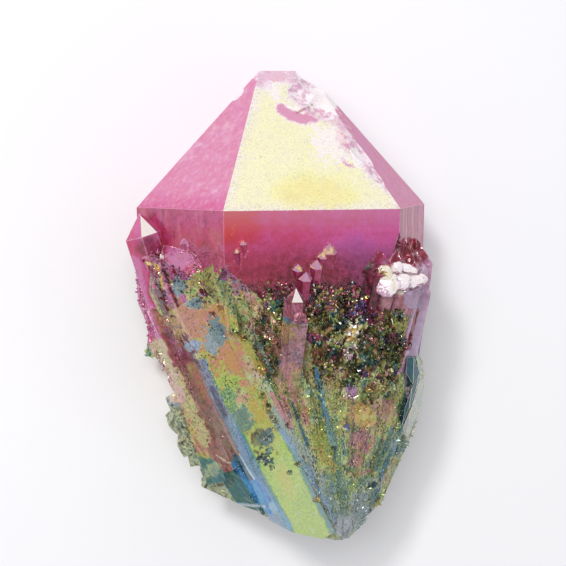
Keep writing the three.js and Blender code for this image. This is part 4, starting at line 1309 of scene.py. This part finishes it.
druse = np.concatenate([low_end[:, None], shoulder[:, None] + ring, tip[:, None]], axis=1)
fits = ((druse > box_low + INSET) & (druse < box_high - INSET)).all(axis=(1, 2))
druse, chosen, in_hollow, place = druse[fits], chosen[fits], in_hollow[fits], place[fits]
count, corners = druse.shape[:2]
shape = np.array([[0, (k + 1) % 6 + 1, k + 1] for k in range(6)]
                 + [[k + 1, (k + 1) % 6 + 1, corners - 1] for k in range(6)])
faces = (np.arange(count)[:, None, None] * corners + shape).reshape(-1, 3)
tiny = bpy.data.meshes.new("fine_druse")
tiny.from_pydata(((druse.reshape(-1, 3) + SHIFT) * MM).tolist(), [], faces.tolist())

# what colours there are in the hollow, and how common each is
HUES = np.array([0.62, 0.70, 0.74, 0.80, 0.78, 0.82, 0.86, 0.25, 0.30, 0.44])
SHARES = np.array([0.08, 0.10, 0.14, 0.20, 0.14, 0.10, 0.06, 0.08, 0.05, 0.05])
seen = seen_place(place)
looks = np.repeat(values[chosen * 3][:, None], len(shape), axis=1)
pick = rng.random(count)
rank = np.argsort(np.argsort(fbm(place * 0.95 + 5, 3, 107) + rng.normal(0, 0.022, count))) / count
hue = HUES[np.searchsorted(np.cumsum(SHARES / SHARES.sum()), rank).clip(0, len(HUES) - 1)]
shade = step(0.40, 0.62, fbm(place * 0.9 + 2, 2, 109))
# gold: a cluster of gold crystals, most painted as glints; pale: whitish painted glints below it
gold = glow(seen, 354, 333, 8, 8)
pale = glow(seen, 348, 353, 5, 8)
blue = glow(seen, 345, 315, 8, 6) + 0.7 * glow(seen, 322, 300, 8, 8)
# gloom: painted shade, where the crystals are dim and mostly green
gloom = glow(seen, 386, 350, 16, 16) + 0.6 * glow(seen, 330, 285, 16, 8)
red = step(-10.6, -9.0, place[:, 1])
for chance, tone in ((gloom * 0.6, 0.71), (gold * 1.3, 0.075), (blue, 0.45), (pale * 0.8, 0.30),
                     (red * 0.7, 0.25), (red * 0.12, 0.10)):
    hue = np.where(pick < chance, tone, hue)
shade_lit = shade * (1 - gloom)
# bright crystals are painted glints: white or gold, hardly dark
bright = rng.random(count) < 0.012 + 0.07 * shade_lit + 0.95 * gold + 0.8 * pale
dimness = np.where(bright, 0.03, 0.84 - 0.44 * shade_lit + 0.24 * (rng.random(count) - 0.5))
whiteness = np.where(bright, 0.28 + 0.5 * pale - 0.26 * gold, 0.10)
for k, each in ((FILM, hue), (DARK, dimness), (HAZE_AND_GLINT, whiteness)):
    looks[in_hollow, :, k] = each[in_hollow, None]
looks[:, :, DARK] += rng.uniform(-0.25, 0.25, looks.shape[:2])
# flashing tip faces: painted glints, white
flashing = (0.01 + 0.07 * shade + 0.55 * gold + 0.35 * pale) * np.where(in_hollow, 1, 0.12)
flash = (rng.random(looks.shape[:2]) < flashing[:, None]) & (np.arange(len(shape)) > 5)
for k, tone in ((HAZE_AND_GLINT, 0.8), (DARK, 0), (FILM, 0.05)):
    looks[flash, k] = tone
for name, tone in (("pits", 0), ("gloss", 0.08), ("metal", 0.45), ("edge", 0)):
    looks[:, :, ELEMENTS.index(name)] = tone
looks = np.repeat(np.clip(looks, 0, 1).reshape(-1, len(ELEMENTS)), 3, axis=0)
piece_from(tiny, looks, druse, np.ones(count * corners))


# ---------------------------------------------------------------- blades and white lobes

def seen_at(px, py, height):
    """The point at a height (mm) on the line of sight through a place in the view."""
    ray = ((px - FRAME / 2) * EYE_RIGHT - (py - FRAME / 2) * EYE_UP) / FOCAL - EYE_BACK
    return EYE + ray * ((height - EYE[2]) / ray[2])


def dressed(name, body, look_of_face, smooth):
    """Finishes a bmesh as a piece on the skin, with looks by face.  A smooth one has no edges,
    so its points count as 1 mm away from any."""
    made = bpy.data.meshes.new(name)
    body.to_mesh(made)
    body.free()
    where = np.array([vertex.co for vertex in made.vertices])
    rows = []
    for face in made.polygons:
        look = dict(PLAIN, **look_of_face(face.index, np.array(face.normal), np.array(face.center)))
        rows += [list(look.values())] * face.loop_total
    made.vertices.foreach_set("co", ((where + SHIFT) * MM).ravel())
    made.polygons.foreach_set("use_smooth", [smooth] * len(made.polygons))
    made.update()
    piece_from(made, np.array(rows), where, np.full(len(where), float(smooth)))


# Corners of each thin plate: place in the view (pixels) and height (mm), then how thick it is.
PLATES = [
    ([(407, 357, 20.9), (414, 357, 20.4), (420, 373, 19.2), (413, 385, 20), (406, 373, 20.8)], 1.6),
    ([(419, 374, 19.4), (420, 380, 18.9), (416, 390, 19.5), (409, 409, 19.9), (402, 426, 19.9),
      (405, 408, 20.3), (412, 388, 20.2)], 1.6),
    ([(421, 376, 18.6), (424, 383, 16.8), (423, 395, 16.2), (419, 413, 16.2), (414, 425, 16.9),
      (406, 438, 18.2), (403, 428, 19.3), (411, 410, 19.2), (417, 391, 18.9)], 1),
    ([(414, 349, 20), (417, 351, 19.3), (425, 374, 17.6), (423, 381, 17.6), (419, 372, 19)], 1),
]
BEVEL = 0.035                  # width of their rims, mm, painted white as highlights
SHRINK = 0.25                  # how much their backs are smaller
blades = bmesh.new()
for outline, thick in PLATES:
    front = [seen_at(*corner) for corner in outline]
    centre = np.mean(front, axis=0)
    behind = [p + (centre - p) * SHRINK - EYE_BACK * thick for p in front]
    made = [blades.verts.new(p) for p in front + behind]
    bmesh.ops.convex_hull(blades, input=made, use_existing_faces=False)
bmesh.ops.dissolve_limit(blades, angle_limit=math.radians(4), verts=blades.verts[:], edges=blades.edges[:])
rims = bmesh.ops.bevel(blades, geom=blades.edges[:], offset=BEVEL, segments=1, affect="EDGES",
                       clamp_overlap=True)["faces"]
blades.faces.index_update()
rim_faces = {face.index for face in rims}


def blade_look(number, normal, centre):
    """Clear to the right of a bent line in the view, dark to its left, where faces that don't
    turn to the right are darker still (painted shade), with white rims (painted highlights).
    """
    px, py = seen_place(centre)
    if px > 421.5 - 0.33 * max(py - 374, 0) - 0.35 * max(374 - py, 0):
        look = dict(film=0.70, haze=0.42, dark=0.20, gloss=0.1, metal=0.1, pits=0.45, mottle=0.06)
    else:
        # darker on faces that don't turn to the right: painted shade
        look = dict(film=0.61, haze=0.03, dark=0.80 - 0.2 * (normal @ EYE_RIGHT > 0.3), gloss=0.06,
                    metal=0.2)
    return dict(look, film=0.03, haze=0.75, dark=0) if number in rim_faces else look


dressed("edge_blades", blades, blade_look, smooth=False)

# Place in the view (pixels), height, width, tallness and thickness (mm), and turn.
LOBES = [(384, 273, 25.65, 0.98, 1.02, 0.40, 0), (388, 285, 25.75, 1.35, 1.30, 0.42, 15),
         (399, 283, 25.35, 1.30, 0.92, 0.45, 10), (411, 282, 24.7, 1.85, 0.72, 0.45, 14),
         (405, 268, 24.9, 1.45, 0.52, 0.42, -16), (397, 268, 25.25, 0.70, 0.66, 0.42, 0),
         (422, 279, 23.9, 0.65, 0.60, 0.45, 0)]
LOBE_SINK = 0.3                # mm from the surface down to a lobe's middle
lobes = bmesh.new()
for number, (px, py, height, wide, tall, thick, turn) in enumerate(LOBES):
    made = bmesh.ops.create_icosphere(lobes, subdivisions=4, radius=1.0)["verts"]
    ball = np.array([vertex.co for vertex in made]) * [wide, tall, thick]
    c, s = math.cos(math.radians(turn)), math.sin(math.radians(turn))
    out = (np.outer(ball[:, 0] * c - ball[:, 1] * s, EYE_RIGHT)
           + np.outer(ball[:, 0] * s + ball[:, 1] * c, EYE_UP) + np.outer(ball[:, 2], EYE_BACK))
    middle_of_lobe = seen_at(px, py, height - LOBE_SINK)
    where = middle_of_lobe + out
    swell = (fbm(where * [1.1, 1.5, 1.1] + number, 2, 131) - 0.5) * 0.50
    swell += (noise(where * 4.5, 139) - 0.5) * 0.20
    for vertex, at in zip(made, middle_of_lobe + out * (1 + swell)[:, None]):
        vertex.co = at


def lobe_look(number, normal, centre):
    """White, with pink in specks, a cream part and one golden dent; faces that turn down,
    and some that turn aside, are pink and darker, painted shade.
    """
    tone = fbm(centre[None] * 1.6, 2, 137)[0]
    speck = noise(centre[None] * 5.0, 157)[0]
    px, py = seen_place(centre)
    in_dent = math.hypot((px - 382) / 4.6, (py - 273.5) / 3.6) + 1.3 * (speck - 0.5)
    if in_dent < 1 and py < 280:
        return dict(film=0.125, haze=0, dark=0.45 + 0.35 * (in_dent < 0.6), gloss=0.2, metal=0)
    if speck > 0.60 - 0.05 * max(py - 284, 0) + 0.05 * max(px - 380, 0):
        return dict(film=0.32, haze=0.45, dark=0.08, gloss=0.06, metal=0.2)
    if (py < 280 and px < 392) or (abs(px - 394) < 1.3 and 275 < py < 291):
        return dict(film=0.055, haze=0.55, dark=0.03, gloss=0.05, metal=0.15)
    # pink and darker where the lobe turns down or aside: painted shade
    if normal @ EYE_UP < -0.62 or (tone < 0.36 and normal @ EYE_BACK < 0.8):
        return dict(film=0.31, haze=0.35, dark=0.30, gloss=0.06, metal=0.2)
    return dict(film=0.02, haze=0.92, dark=0, gloss=0.05, metal=0.1)


dressed("shoulder_lobes", lobes, lobe_look, smooth=True)


# ---------------------------------------------------------------- floor, lights, camera

def floor_material():
    g = Graph("pale_floor")
    tone = g.noise(g.add("TexCoord").outputs["Object"], 30, 2.0)
    colour = g.mix(tone, linear(249, 248, 250), linear(252, 251, 252))
    return g.surface({"Base Color": colour, "Roughness": 0.9})


FLOOR = 1.2                    # half its width, metres
floor_mesh = bpy.data.meshes.new("floor")
floor_mesh.from_pydata([(-FLOOR, -FLOOR, 0), (FLOOR, -FLOOR, 0), (FLOOR, FLOOR, 0), (-FLOOR, FLOOR, 0)],
                       [], [(0, 1, 2, 3)])
floor_mesh.materials.append(floor_material())
floor = linked("floor", floor_mesh)

camera_data = bpy.data.cameras.new("camera")
camera_data.sensor_width = 36.0
camera_data.lens = 36.0 * FOCAL / FRAME
camera_data.clip_start = 0.01
camera = linked("camera", camera_data)
stand = np.vstack([np.stack([EYE_RIGHT, EYE_UP, EYE_BACK, (EYE + SHIFT) * MM], axis=1), [0, 0, 0, 1]])
camera.matrix_world = Matrix(stand.tolist())
bpy.context.scene.camera = camera

# Soft lights, by name: where each comes from, how far off, width, height (metres) and power.
LIGHTS = {
    "key": ((-0.35, 0.25, 0.9), 0.5, 0.22, 0.22, 1.08),
    "lamp": ((-0.45, 0.42, 0.85), 0.5, 0.06, 0.06, 0.7),
    "tip_glow": ((0.256, 0.923, 0.287), 0.45, 0.30, 0.22, 0.17),
    "fill": ((0.6, -0.6, 0.5), 0.6, 0.4, 0.4, 0.3),
}
AIM = Vector((0, 0, 0.012))
for name, (direction, distance, width, height, power) in LIGHTS.items():
    data = bpy.data.lights.new(name, "AREA")
    data.shape = "RECTANGLE"
    data.size, data.size_y = width, height
    data.energy = power
    light = linked(name, data)
    way = Vector(direction).normalized()
    light.location = way * distance + AIM
    light.rotation_euler = way.to_track_quat("Z", "Y").to_euler()
world = bpy.data.worlds.new("studio")
bpy.context.scene.world = world
world.use_nodes = True
sky = world.node_tree.nodes["Background"]
sky.inputs["Color"].default_value = (0.93, 0.95, 1.0, 1)
sky.inputs["Strength"].default_value = 0.41
bpy.context.scene.view_settings.view_transform = "Standard"
